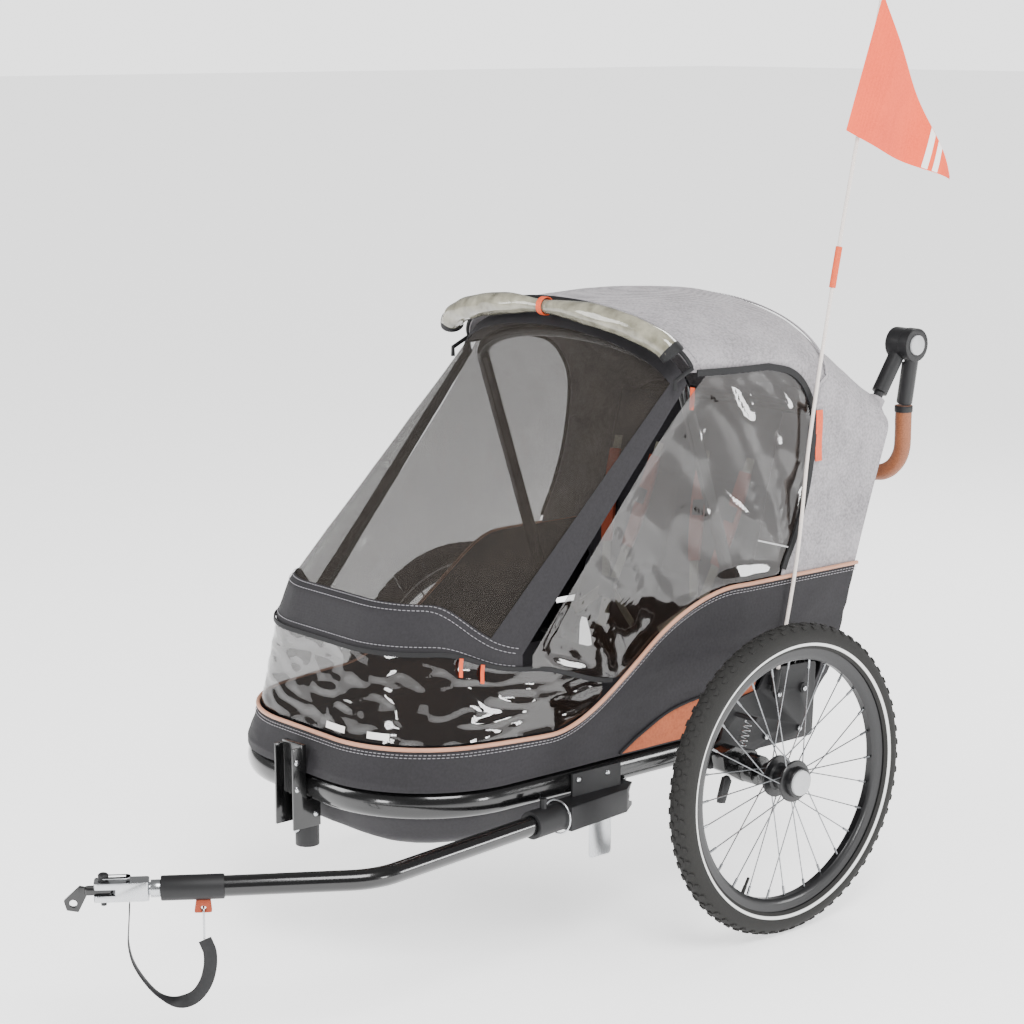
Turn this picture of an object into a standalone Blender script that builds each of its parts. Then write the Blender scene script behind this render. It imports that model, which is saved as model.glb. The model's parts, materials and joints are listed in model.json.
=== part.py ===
"""Two-wheeled child bicycle trailer with a folding cabin, tow arm, push handle and safety flag.

Metres, +Z up. The origin is on the ground midway between the wheels, -Y is the front, +X the tow side.
"""

import math

import bmesh
import bpy
from mathutils import Matrix, Vector

# Driving dimensions
WHEEL_RADIUS = 0.25
WHEEL_TRACK = 0.82
TYRE_TUBE = 0.0235
SPOKES = 28
SPOKE_RADIUS = 0.0012
AXLE_RADIUS = 0.006
BODY_HALF_WIDTH = 0.268
NOSE_Y = -0.650
NOSE_RADIUS = 0.197
RAIL_TOP = 0.296
RAIL_HEIGHT = 0.040
RAIL_WIDTH = 0.024
RAIL_END_Y = 0.198
FLOOR_Z = 0.192
REAR_LEAN = 0.25
REAR_CURVE = 0.13
FABRIC = 0.0035
CLEAR_SHEET = 0.0015
HOOP_RADIUS = 0.011
FRONT_PIVOT = (0.098, 0.347)
REAR_PIVOT = (0.158, 0.347)
FRONT_HOOP_ANGLE = 108.7
REAR_HOOP_ANGLE = 70.0
FRONT_HOOP_X = BODY_HALF_WIDTH - 0.025
REAR_HOOP_X = BODY_HALF_WIDTH + 0.004
PLATE_X = BODY_HALF_WIDTH + 0.0185
PLATE_THICKNESS = 0.005
ARM_PIVOT = (-0.040, 0.270)
HANDLE_AXIS = (0.437, 0.887)
HANDLE_X = BODY_HALF_WIDTH - 0.025
HANDLE_FOOT = (0.3600, 0.775)
HANDLE_BAR_Z = 0.657
TOW_TUBE = 0.015
RECEIVER_CENTRE = (BODY_HALF_WIDTH + 0.015, -0.310, 0.2385)
RECEIVER_TOE = 7.2
HITCH_START = (BODY_HALF_WIDTH - 0.051, -0.935, 0.2365)
HITCH_TURN = 34.6
FLAG_X = BODY_HALF_WIDTH + 0.0355
ARM_REACH = 0.451

# Fits and gaps
GAP = 0.0003
SEAM = 0.0015
RUN = 0.0003

WHEEL_X = WHEEL_TRACK / 2
SEAT_HALF_WIDTH = BODY_HALF_WIDTH - 0.046
RAIL_CENTRE_Z = RAIL_TOP - RAIL_HEIGHT / 2
RAIL_INSET = RAIL_WIDTH / 2
WALL_Z = RAIL_TOP + SEAM
TYRE_CENTRE = WHEEL_RADIUS - TYRE_TUBE
RIM_OUTER = TYRE_CENTRE - 0.0144
RIM_INNER = RIM_OUTER - 0.0205
NOSE_START_Y = NOSE_Y + NOSE_RADIUS


def clear_scene():
    """Remove every object so that the file holds only the trailer."""
    for item in list(bpy.data.objects):
        bpy.data.objects.remove(item, do_unlink=True)


def material(name, colour, metallic, roughness):
    """Return a Principled material with one colour."""
    made = bpy.data.materials.new(name)
    made.use_nodes = True
    shader = made.node_tree.nodes["Principled BSDF"]
    shader.inputs["Base Color"].default_value = (*colour, 1.0)
    shader.inputs["Metallic"].default_value = metallic
    shader.inputs["Roughness"].default_value = roughness
    made.diffuse_color = (*colour, 1.0)
    return made


LOOKS = {
    "frame": ((0.012, 0.012, 0.013), 0.0, 0.3),
    "plastic": ((0.02, 0.02, 0.021), 0.0, 0.5),
    "steel": ((0.6, 0.6, 0.62), 1.0, 0.25),
    "rubber": ((0.02, 0.02, 0.02), 0.0, 0.8),
    "black_fabric": ((0.015, 0.015, 0.017), 0.0, 0.9),
    "grey_fabric": ((0.27, 0.27, 0.29), 0.0, 0.9),
    "clear": ((0.35, 0.33, 0.3), 0.0, 0.1),
    "orange": ((0.8, 0.08, 0.02), 0.0, 0.7),
    "rust": ((0.35, 0.09, 0.04), 0.0, 0.8),
    "leather": ((0.36, 0.13, 0.045), 0.0, 0.5),
    "cap": ((0.55, 0.55, 0.55), 0.0, 0.4),
    "white": ((0.8, 0.8, 0.78), 0.0, 0.4),
}


def strip_cap(start, count):
    """Quads across a ring whose second half mirrors its first."""
    last = start + count - 1
    return [(start + i, start + i + 1, last - i - 1, last - i) for i in range(count // 2 - 1)]


def solid(name, rings, look, origin=(0, 0, 0), loop=False, smooth=35, strips=False):
    """Join closed rings of points into one closed body, capped at both ends unless it loops."""
    count = len(rings[0])
    points = [Vector(point) - Vector(origin) for ring in rings for point in ring]
    pairs = len(rings) if loop else len(rings) - 1
    faces = []
    for row in range(pairs):
        low = row * count
        high = ((row + 1) % len(rings)) * count
        for step in range(count):
            after = (step + 1) % count
            faces.append((low + step, low + after, high + after, high + step))
    if strips:
        faces.extend(strip_cap(0, count))
        faces.extend(strip_cap(len(points) - count, count))
    elif not loop:
        faces.append(tuple(range(count)))
        faces.append(tuple(range(len(points) - count, len(points))))
    return finish(name, points, faces, look, origin, smooth)


def finish(name, points, faces, look, origin=(0, 0, 0), smooth=35):
    """Make the object with outward normals, its material and smooth shading."""
    mesh = bpy.data.meshes.new(name)
    mesh.from_pydata([tuple(point) for point in points], [], faces)
    shape = bmesh.new()
    shape.from_mesh(mesh)
    bmesh.ops.recalc_face_normals(shape, faces=shape.faces)
    shape.to_mesh(mesh)
    shape.free()
    item = bpy.data.objects.new(name, mesh)
    item.location = origin
    bpy.context.scene.collection.objects.link(item)
    mesh.materials.append(material(name, *LOOKS[look]))
    mesh.shade_smooth()
    mesh.set_sharp_from_angle(angle=math.radians(smooth))
    return item


def combine(target, others, operation="UNION"):
    """Join or cut the target by the others, which are then removed."""
    bpy.context.view_layer.update()
    for other in others:
        modifier = target.modifiers.new(operation.title(), "BOOLEAN")
        modifier.operation = operation
        modifier.solver = "EXACT"
        modifier.object = other
        graph = bpy.context.evaluated_depsgraph_get()
        joined = bpy.data.meshes.new_from_object(target.evaluated_get(graph))
        target.modifiers.clear()
        target.data = joined
        first = joined.materials[0]
        joined.materials.clear()
        joined.materials.append(first)
        bpy.data.objects.remove(other, do_unlink=True)
        bpy.context.view_layer.update()
    target.data.shade_smooth()
    target.data.set_sharp_from_angle(angle=math.radians(35))
    return target


def circle(radius, count, flat=1.0):
    """Points of a circle, or of an oval when flat differs from one, as (across, up) pairs."""
    turn = 2 * math.pi / count
    return [(radius * math.cos(turn * i), radius * flat * math.sin(turn * i)) for i in range(count)]


def sweep_rings(path, section, up, scale=None):
    """Rings of a section carried along a path without twist."""
    points = [Vector(point) for point in path]
    rings = []
    side = None
    for index, point in enumerate(points):
        before = points[max(index - 1, 0)]
        after = points[min(index + 1, len(points) - 1)]
        ahead = (after - before).normalized()
        if side is None:
            side = ahead.cross(Vector(up)).normalized()
        side = (side - ahead * side.dot(ahead)).normalized()
        high = side.cross(ahead)
        size = scale[index] if scale else 1.0
        rings.append([point + side * (a * size) + high * (b * size) for a, b in section])
    return rings


def sweep(name, path, section, look, up=(0, 0, 1), origin=(0, 0, 0), scale=None):
    """Solid bar of one section along a path."""
    return solid(name, sweep_rings(path, section, up, scale), look, origin)


def rounded(points, radius, steps=5):
    """The path with each inner corner replaced by an arc."""
    corners = [Vector(point) for point in points]
    path = [corners[0]]
    for before, corner, after in zip(corners, corners[1:], corners[2:]):
        into = (corner - before).normalized()
        away = (after - corner).normalized()
        half = into.angle(away) / 2
        reach = radius * math.tan(half)
        inward = (away - into).normalized()
        centre = corner + inward * (radius / math.cos(half))
        start = corner - into * reach - centre
        turn_axis = into.cross(away).normalized()
        for step in range(steps + 1):
            angle = 2 * half * step / steps
            path.append(centre + Matrix.Rotation(angle, 3, turn_axis) @ start)
    path.append(corners[-1])
    return path


def placed(origin, turn=0.0, axis="Z"):
    """Frame at an origin, turned by degrees about one world axis."""
    return Matrix.Translation(origin) @ Matrix.Rotation(math.radians(turn), 4, axis)


def facing(origin, direction):
    """Frame whose Z points along a direction."""
    return Matrix.Translation(origin) @ Vector(direction).to_track_quat("Z", "Y").to_matrix().to_4x4()


def turned(name, profile, origin, direction, look, steps=20, loop=False):
    """Round body from (along, radius) pairs about an axis through the origin."""
    frame = facing(origin, direction)
    rings = []
    for along, radius in profile:
        rings.append([frame @ Vector((a, b, along)) for a, b in circle(radius, steps)])
    return solid(name, rings, look, origin, loop)


def rod(name, start, end, radius, look, steps=12):
    """Plain cylinder between two points."""
    length = (Vector(end) - Vector(start)).length
    direction = Vector(end) - Vector(start)
    return turned(name, [(0, radius), (length, radius)], start, direction, look, steps)


def block(name, frame, low, high, look):
    """Box between two corners given in a frame."""
    rings = []
    for z in (low[2], high[2]):
        corners = [(low[0], low[1]), (high[0], low[1]), (high[0], high[1]), (low[0], high[1])]
        rings.append([frame @ Vector((x, y, z)) for x, y in corners])
    return solid(name, rings, look)


def plate(name, outline, low, high, look, frame=None):
    """Flat plate: an outline in the frame's XY drawn between two heights."""
    frame = frame or Matrix.Identity(4)
    rings = [[frame @ Vector((x, y, z)) for x, y in outline] for z in (low, high)]
    return solid(name, rings, look)


def side_frame():
    """Frame whose XY is the trailer's side view (Y, Z) and whose Z is the trailer's X."""
    return Matrix(((0, 0, 1, 0), (1, 0, 0, 0), (0, 1, 0, 0), (0, 0, 0, 1)))


def rounded_outline(points, radius, steps=3):
    """Closed outline with each corner replaced by a small arc."""
    closed = [Vector((*point, 0)) for point in points]
    middles = [(closed[i] + closed[i - 1]) / 2 for i in range(len(closed))]
    outline = []
    for index, corner in enumerate(closed):
        after = middles[(index + 1) % len(closed)]
        path = rounded([middles[index], corner, after], radius, steps)[1:-1]
        outline.extend((point.x, point.y) for point in path)
    return outline


def between(points, value):
    """Value on a line through (along, height) points, level beyond its ends."""
    for (a0, b0), (a1, b1) in zip(points, points[1:]):
        if a0 <= value <= a1:
            return b0 + (b1 - b0) * (value - a0) / (a1 - a0)
    return points[0][1] if value < points[0][0] else points[-1][1]


def smooth_step(low, high, value):
    """Ease from 0 at low to 1 at high."""
    t = min(max((value - low) / (high - low), 0.0), 1.0)
    return t * t * (3 - 2 * t)


def bulge(y, z):
    """How far the cabin's side stands out beyond the rail line."""
    return 0.028 * smooth_step(-0.16, 0.03, y) * smooth_step(0.300, 0.395, z)


def tub_top(y):
    """Height of the tub's upper edge along the side."""
    return 0.361 + 0.181 * smooth_step(-0.37, 0.0, y)


def seam_z(y):
    """Height of the zip line between the front window and what is above it."""
    return 0.424 + 0.043 * smooth_step(-0.235, -0.41, y) + 0.031 * smooth_step(-0.41, -0.56, y)


def rear_y(z):
    """Y of the leaning rear wall at a height."""
    height = z - 0.266
    return RAIL_END_Y + REAR_LEAN * height + REAR_CURVE * height * height


def nose_lean(y, z):
    """How far the nose leans in at a height, fading out along the sides."""
    depth = between([(0.31, 0.0), (0.361, 0.019), (0.498, 0.046), (0.560, 0.068)], z)
    return depth * smooth_step(-0.36, -0.50, y)


SIDE_STEPS = [0.0, 0.10, 0.20, 0.30, 0.41, 0.50, 0.58, 0.66, 0.74, 0.82, 0.91]


def plan_line(inset, stations):
    """Plan points with outward normals from the near side round the nose to the far side."""
    half = BODY_HALF_WIDTH - inset
    radius = NOSE_RADIUS - inset
    near = [((half, y), (1, 0)) for y in stations]
    for step in range(8):
        angle = math.radians(90 * step / 7)
        normal = (math.cos(angle), -math.sin(angle))
        near.append(((half - radius + radius * normal[0], NOSE_START_Y + radius * normal[1]), normal))
    return near + [((-x, y), (-nx, ny)) for (x, y), (nx, ny) in reversed(near)]


def plan_points(inset, back):
    """Plan outline from the near rear corner round the nose to the far one, without the rear edge."""
    stations = [back + (NOSE_START_Y - back) * t for t in SIDE_STEPS]
    return [point for point, _ in plan_line(inset, stations)]


def leaned(point, normal, z):
    """The wall point moved in by the nose's lean and out by the side's bulge."""
    (x, y), (nx, ny) = point, normal
    depth = nose_lean(y, z)
    side = math.copysign(bulge(y, z), x) if abs(nx) > 0.9 else 0.0
    return (x - nx * depth + side, y - ny * depth, z)


def wall_ring(inset, z_rule):
    """Ring of the tub or the fabric wall at a height that may vary along the side."""
    base = 0.30
    for _ in range(2):
        base = z_rule(rear_y(base))
    back = rear_y(base) - inset
    stations = [back + (NOSE_START_Y - back) * t for t in SIDE_STEPS]
    return [leaned(point, normal, z_rule(point[1])) for point, normal in plan_line(inset, stations)]


def make_tub():
    """Fabric tub: side wall above the rail, flange over the rail and a hull-shaped footwell."""
    inner = 0.034

    def level(share):
        return lambda y: WALL_Z + (tub_top(y) - WALL_Z) * share

    def hull(depth):
        low = WALL_Z - (WALL_Z - FLOOR_Z) * depth
        seat = min(WALL_Z - 0.0035 - 0.005 * depth, WALL_Z)
        return lambda y: low + (max(seat, low) - low) * smooth_step(-0.19, -0.11, y)

    def raised(rule):
        return lambda y: rule(y) + FABRIC + 0.001 * smooth_step(-0.20, -0.15, y)

    outer = [wall_ring(0.0, level(share)) for share in (1.0, 0.62, 0.42, 0.2, 0.0)]
    outer.append(wall_ring(inner, level(0.0)))
    outer.append(wall_ring(inner + 0.004, hull(0.5)))
    outer.append(wall_ring(inner + 0.024, hull(0.86)))
    outer.append(wall_ring(inner + 0.055, hull(1.0)))
    inside = [wall_ring(FABRIC, level(share)) for share in (1.0, 0.62, 0.42, 0.2)]
    inside.append(wall_ring(FABRIC, raised(level(0.0))))
    inside.append(wall_ring(inner + FABRIC, raised(level(0.0))))
    inside.append(wall_ring(inner + 0.004 + FABRIC, raised(hull(0.5))))
    inside.append(wall_ring(inner + 0.026 + FABRIC, raised(hull(0.86))))
    inside.append(wall_ring(inner + 0.057 + FABRIC, raised(hull(1.0))))
    tub = solid("tub", list(reversed(inside)) + outer, "black_fabric", smooth=40, strips=True)
    frame = Matrix.Identity(4)
    cuts = []
    for side in (-1, 1):
        low_x, high_x = sorted((side * 0.22, side * 0.33))
        low = (low_x, 0.050, WALL_Z + FABRIC + 0.004)
        cuts.append(block(f"cut_{side}", frame, low, (high_x, 0.2, 0.398), "plastic"))
    return combine(tub, cuts, "DIFFERENCE")


# Cabin surfaces


def roof_half(y):
    """Half width of the canopy at the shoulder."""
    return BODY_HALF_WIDTH - 0.002 + bulge(y, 0.6)


def shoulder_z(share):
    """Height of the roof's side edge from front (0) to rear (1)."""
    return 0.892 - 0.012 * share - 0.128 * smooth_step(0.42, 1.0, share)


def crown_z(share):
    """Height of the roof's centre line: a vault over the seats that falls away to the rear hoop."""
    crown = 0.007 * math.sin(math.pi * min(share / 0.62, 1.0))
    return 0.980 + crown - 0.168 * smooth_step(0.50, 1.06, share)


def canopy_ring(share, inset, pull=0.0):
    """Arch of the canopy at a share of its length: up one side, over the roof and down the other."""

    def along(z):
        return -0.120 + (rear_y(z) + 0.120) * share - inset * share

    foot_z = tub_top(along(0.543)) + SEAM
    side_z = shoulder_z(share) - pull
    high_z = crown_z(share) - pull * 1.4
    square = smooth_step(0.62, 1.0, share)
    half_ring = []
    for rise in (0.0, 0.34, 0.67):
        z = foot_z + (side_z - foot_z) * rise
        half_ring.append((roof_half(along(z)) - inset, along(z), z))
    for step in range(9):
        angle = math.radians(90 * step / 8)
        z = side_z - inset + (high_z - side_z) * math.sin(angle) ** (1.12 - 0.55 * square)
        x = (roof_half(along(z)) - inset) * math.cos(angle) ** (0.92 - 0.40 * square)
        half_ring.append((x, along(z) + 0.036 * (1 - math.sin(angle)) * (1 - share), z))
    mirrored = [(-x, y, z) for x, y, z in reversed(half_ring[:-1])]
    return half_ring + mirrored


def make_canopy():
    """Roof, rear sides and rear wall in one shell, with the two window openings cut from it."""
    shares = [0.0, 0.18, 0.36, 0.50, 0.62, 0.74, 0.86, 0.95, 1.0]
    outer = [canopy_ring(share, 0.0, 0.012 if share == 1.0 else 0.0) for share in shares]
    shell = [canopy_ring(share, FABRIC, 0.012 if share == 1.0 else 0.0) for share in shares]
    shell[-1] = [(x, y - 0.001, z) for x, y, z in shell[-1]]
    count = len(outer[0])
    points = [point for ring in outer + shell for point in ring]
    size = len(shares) * count
    faces = []
    for row in range(len(shares) - 1):
        for step in range(count - 1):
            a = row * count + step
            faces.append((a, a + 1, a + count + 1, a + count))
            faces.append((size + a, size + a + count, size + a + count + 1, size + a + 1))
        for step in (0, count - 1):
            a = row * count + step
            faces.append((a, a + count, size + a + count, size + a))
    for step in range(count - 1):
        faces.append((step, size + step, size + step + 1, step + 1))
    last = (len(shares) - 1) * count
    for start in (last, size + last):
        faces.extend(strip_cap(start, count)[:-1])
        middle = start + count // 2
        faces.append((middle - 1, middle, middle + 1))
        faces.append((middle - 2, middle - 1, middle + 1, middle + 2))
    faces.append((last, last + count - 1, size + last + count - 1, size + last))
    canopy = finish("canopy", points, faces, "grey_fabric")
    window = [(-0.30, 0.886), (0.060, 0.886), (0.115, 0.872), (0.150, 0.840), (0.169, 0.787)]
    window += [(0.158, 0.690), (0.132, 0.610), (0.099, 0.535), (0.090, 0.40), (-0.30, 0.40)]
    cutter = plate("window_cut", window, -0.4, 0.4, "plastic", side_frame())
    y, z = HANDLE_AXIS
    slope = Vector((0, y - HANDLE_FOOT[0], z - HANDLE_FOOT[1])).normalized()
    holes = []
    for side in (-1, 1):
        middle = Vector((side * HANDLE_X, *HANDLE_FOOT))
        holes.append(rod("hole", middle - slope * 0.030, middle + slope * 0.05, 0.0125, "plastic", 12))
        holes.append(rod("seat", middle + slope * 0.0085, middle + slope * 0.05, 0.0180, "plastic", 16))
    return combine(canopy, [cutter] + holes, "DIFFERENCE")


def patch(name, columns, thickness, look, smooth=35):
    """Thin sheet from columns of points, each point paired with the one behind it."""
    rows = len(columns[0])
    front = [point for column in columns for point, _ in column]
    back = [point for column in columns for _, point in column]
    size = len(front)
    faces = []
    for column in range(len(columns) - 1):
        for row in range(rows - 1):
            a = column * rows + row
            faces.append((a, a + 1, a + rows + 1, a + rows))
            faces.append((size + a, size + a + rows, size + a + rows + 1, size + a + 1))
        for row in (0, rows - 1):
            a = column * rows + row
            faces.append((a, a + rows, size + a + rows, size + a))
    for start in (0, (len(columns) - 1) * rows):
        for row in range(rows - 1):
            a = start + row
            faces.append((a, a + 1, size + a + 1, size + a))
    return finish(name, front + back, faces, look, smooth=smooth)


WINDOW_LOW = [(0.094, 0.0), (0.128, 0.612), (0.154, 0.694), (0.1660, 0.767)]
WINDOW_HIGH = [(0.058, 0.884), (0.112, 0.870), (0.147, 0.838), (0.1665, 0.790)]
SLOPE_TOP = (-0.078, 0.868)
SLOPE_FOOT = (-0.410, 0.485)


def window_low(y):
    """Lower edge of the side window: the zip line, the tub's edge, then the rounded rear."""
    foot = max(tub_top(y) + 0.003, seam_z(y) + SEAM if y < -0.20 else 0.0)
    return foot if y < WINDOW_LOW[0][0] else between([(WINDOW_LOW[0][0], foot)] + WINDOW_LOW[1:], y)


def window_high(y):
    """Upper edge of the side window: the slope, the roof edge and the rounded rear."""
    if y < SLOPE_TOP[0]:
        return between([SLOPE_FOOT, SLOPE_TOP], y) - 0.004
    return between([(SLOPE_TOP[0], 0.864), (-0.06, 0.884)] + WINDOW_HIGH, y)


def make_side_window(name, side):
    """Clear side panel from the slope's edge to the rounded rear of the window."""
    stations = [-0.406, -0.36, -0.31, -0.26, -0.21, -0.16, -0.11, -0.078, -0.055, 0.0]
    stations += [0.055, 0.096, 0.13, 0.150, 0.1655]
    columns = []
    for y in stations:
        low, high = window_low(y), window_high(y)
        column = []
        for step in range(5):
            z = low + (high - low) * step / 4
            x = BODY_HALF_WIDTH - 0.003 + bulge(y, z)
            column.append(((side * x, y, z), (side * (x - CLEAR_SHEET), y, z)))
        columns.append(column)
    return patch(name, columns, CLEAR_SHEET, "clear")


def make_front_window():
    """Clear band round the nose between the tub's edge and the zip line."""
    columns = []
    for point, normal in plan_line(0.003, [-0.262, -0.285, -0.32, -0.36, -0.41]):
        y = point[1]
        low, high = tub_top(y) + 0.0045, seam_z(y) - SEAM
        column = []
        for step in range(3):
            z = low + (high - low) * step / 2
            front = Vector(leaned(point, normal, z))
            column.append((front, front - Vector((*normal, 0)) * CLEAR_SHEET))
        columns.append(column)
    return patch("front_window", columns, CLEAR_SHEET, "clear")


def make_front_cover():
    """Mesh front: a hem band round the nose, then a taut slope up to the roof's front edge."""
    line = plan_line(0.002, [-0.413])
    count = len(line) - 1
    columns = []
    for index, (point, normal) in enumerate(line):
        angle = math.pi * index / count
        y = point[1]
        inward = Vector((-normal[0], -normal[1], 0)) * FABRIC
        low = Vector(leaned(point, normal, seam_z(y) + SEAM))
        high_z = SLOPE_FOOT[1] + 0.003 + 0.069 * smooth_step(-0.413, -0.58, y)
        high = Vector(leaned(point, normal, high_z))
        top = Vector((0.262 * math.cos(angle), -0.086 - 0.040 * math.sin(angle), 0.868))
        top.z += 0.096 * math.sin(angle)
        column = [(low, low + inward), (high, high + inward + Vector((0, 0, -0.002)))]
        for step in range(1, 7):
            spot = high.lerp(top, step / 6)
            drop = Vector((-math.cos(angle) * 0.0025, 0.002, -FABRIC - 0.0005))
            column.append((spot, spot + drop))
        columns.append(column)
    return patch("front_cover", columns, FABRIC, "black_fabric", smooth=50)


def make_rain_roll():
    """Rolled clear rain cover tied in the middle of the roof's front edge."""
    half = BODY_HALF_WIDTH + 0.002
    path = []
    scale = []
    for step in range(15):
        angle = math.pi * (0.03 + 0.94 * step / 14)
        y, z = -0.120 - 0.030 * math.sin(angle), 0.910 + 0.062 * math.sin(angle)
        path.append((half * math.cos(angle), y, z))
        scale.append(0.62 + 0.38 * min(abs(step - 7) / 3.0, 1.0))
    return sweep("rain_roll", path, circle(0.0205, 10), "clear", up=(0, 1, 0), scale=scale)


# Frame


def make_lower_frame():
    """Oval U-shaped rail round the nose with its rear crossbar sleeves."""
    path = [(x, y, RAIL_CENTRE_Z) for x, y in plan_points(RAIL_INSET, RAIL_END_Y)]
    keep = [0, 4, 8] + list(range(11, len(path) // 2))
    near = [path[index] for index in keep]
    full = near + [(-x, y, z) for x, y, z in reversed(near)]
    section = [(a, b) for a, b in circle(RAIL_INSET, 12, RAIL_HEIGHT / RAIL_WIDTH)]
    return sweep("lower_frame", full, section, "frame")


def make_cross_tubes():
    """Rear crossbar between the rails and the axle beam under the seat."""
    inside = BODY_HALF_WIDTH - RAIL_WIDTH - GAP
    y = RAIL_END_Y - 0.020
    rod("rear_crossbar", (inside, y, 0.272), (-inside, y, 0.272), 0.010, "frame", 14)
    y = ARM_PIVOT[0] + 0.005
    rod("axle_beam", (inside, y, 0.268), (-inside, y, 0.268), 0.012, "frame", 14)


def make_side_plate(name, side):
    """Pivot plate outside the rail with its hoop pins, arm pin, spring pin, rivets and flag socket boss."""
    outline = [(0.078, 0.392), (0.190, 0.387), (0.184, 0.262), (0.060, 0.262), (-0.020, 0.247)]
    outline += [(-0.058, 0.249), (-0.060, 0.282), (-0.030, 0.292), (-0.012, 0.350), (0.055, 0.362)]
    frame = side_frame()
    outline = rounded_outline(outline, 0.006)
    low, high = sorted((side * PLATE_X, side * (PLATE_X + PLATE_THICKNESS)))
    body = plate(name, outline, low, high, "frame", frame)
    inner = side * (PLATE_X + 0.001)
    outer = side * (PLATE_X + PLATE_THICKNESS - 0.001)
    extras = []
    for y, z in ((0.150, 0.280), (0.072, 0.280), (-0.022, 0.276)):
        rail_face = side * (BODY_HALF_WIDTH + GAP)
        extras.append(rod("spacer", (inner, y, z), (rail_face, y, z), 0.007, "frame", 12))
        extras.append(rod("rivet", (outer, y, z), (outer + side * 0.004, y, z), 0.0055, "frame", 10))
    for (y, z), reach in ((FRONT_PIVOT, FRONT_HOOP_X), (REAR_PIVOT, REAR_HOOP_X)):
        tip = side * (reach - HOOP_RADIUS - 0.003)
        extras.append(rod("pin", (inner, y, z), (tip, y, z), 0.004, "frame", 12))
        extras.append(rod("head", (outer, y, z), (outer + side * 0.006, y, z), 0.009, "frame", 12))
    y, z = ARM_PIVOT
    pin_end = side * (PLATE_X + 0.0515)
    extras.append(rod("arm_pin", (outer, y, z), (pin_end, y, z), AXLE_RADIUS, "frame", 14))
    y, z = (0.006, 0.329)
    extras.append(rod("spring_pin", (outer, y, z), (pin_end, y, z), 0.004, "frame", 10))
    return combine(body, extras)


def make_hoop(name, half_x, pivot, angle, straight, crown, square):
    """Hoop whose two legs turn on the side plates' pins, arched or square with rounded corners."""
    lean = math.radians(angle)
    along = Vector((0, math.cos(lean), math.sin(lean)))
    base = Vector((0, *pivot))

    def spot(x, reach):
        return Vector((x, 0, 0)) + base + along * reach

    if square:
        corners = [spot(half_x, -0.012), spot(half_x, crown), spot(-half_x, crown), spot(-half_x, -0.012)]
        path = rounded(corners, crown - straight, 5)
    else:
        near = [spot(half_x, -0.012)]
        for step in range(7):
            turn = math.radians(90 * step / 6)
            near.append(spot(half_x * math.cos(turn), straight + (crown - straight) * math.sin(turn)))
        path = near + [Vector((-point.x, point.y, point.z)) for point in reversed(near[:-1])]
    hoop = sweep(name, path, circle(HOOP_RADIUS, 10), "frame", up=(0, 1, 0), origin=tuple(base))
    bores = []
    for side in (-1, 1):
        start = (side * (half_x - 0.02), *pivot)
        bores.append(rod("bore", start, (side * (half_x + 0.02), *pivot), 0.004 + RUN, "frame", 12))
    return combine(hoop, bores, "DIFFERENCE")


def make_seats():
    """Seat base, seat back and the two harnesses in front of it."""
    low, high = (-SEAT_HALF_WIDTH, -0.150, 0.305), (SEAT_HALF_WIDTH, 0.075, 0.365)
    block("seat_base", Matrix.Identity(4), low, high, "black_fabric")
    lean = Matrix.Rotation(math.radians(-15), 4, "X")
    back_frame = Matrix.Translation((0, 0.090, 0.372)) @ lean
    low, high = SEAT_HALF_WIDTH - 0.004, SEAT_HALF_WIDTH - 0.017
    outline = rounded_outline([(-low, 0.0), (low, 0.0), (high, 0.46), (-high, 0.46)], 0.05, 3)
    upright = back_frame @ Matrix(((1, 0, 0, 0), (0, 0, -1, 0), (0, 1, 0, 0), (0, 0, 0, 1)))
    plate("seat_back", outline, -0.012, 0.012, "black_fabric", upright)
    belt = [
        (-0.070, 0.340), (-0.040, 0.350), (-0.016, 0.160), (0.016, 0.160), (0.040, 0.350), (0.070, 0.340)
    ]
    belt += [(0.042, 0.110), (0.085, 0.030), (0.062, 0.018), (0.014, 0.075), (0.012, 0.012)]
    belt += [(-0.012, 0.012), (-0.014, 0.075), (-0.062, 0.018), (-0.085, 0.030), (-0.042, 0.110)]
    for name, side in (("harness_left", 1), ("harness_right", -1)):
        shift = Matrix.Translation((side * 0.108, 0, 0))
        plate(name, belt, 0.0135, 0.0195, "rust", shift @ upright)


# Wheels


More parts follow.
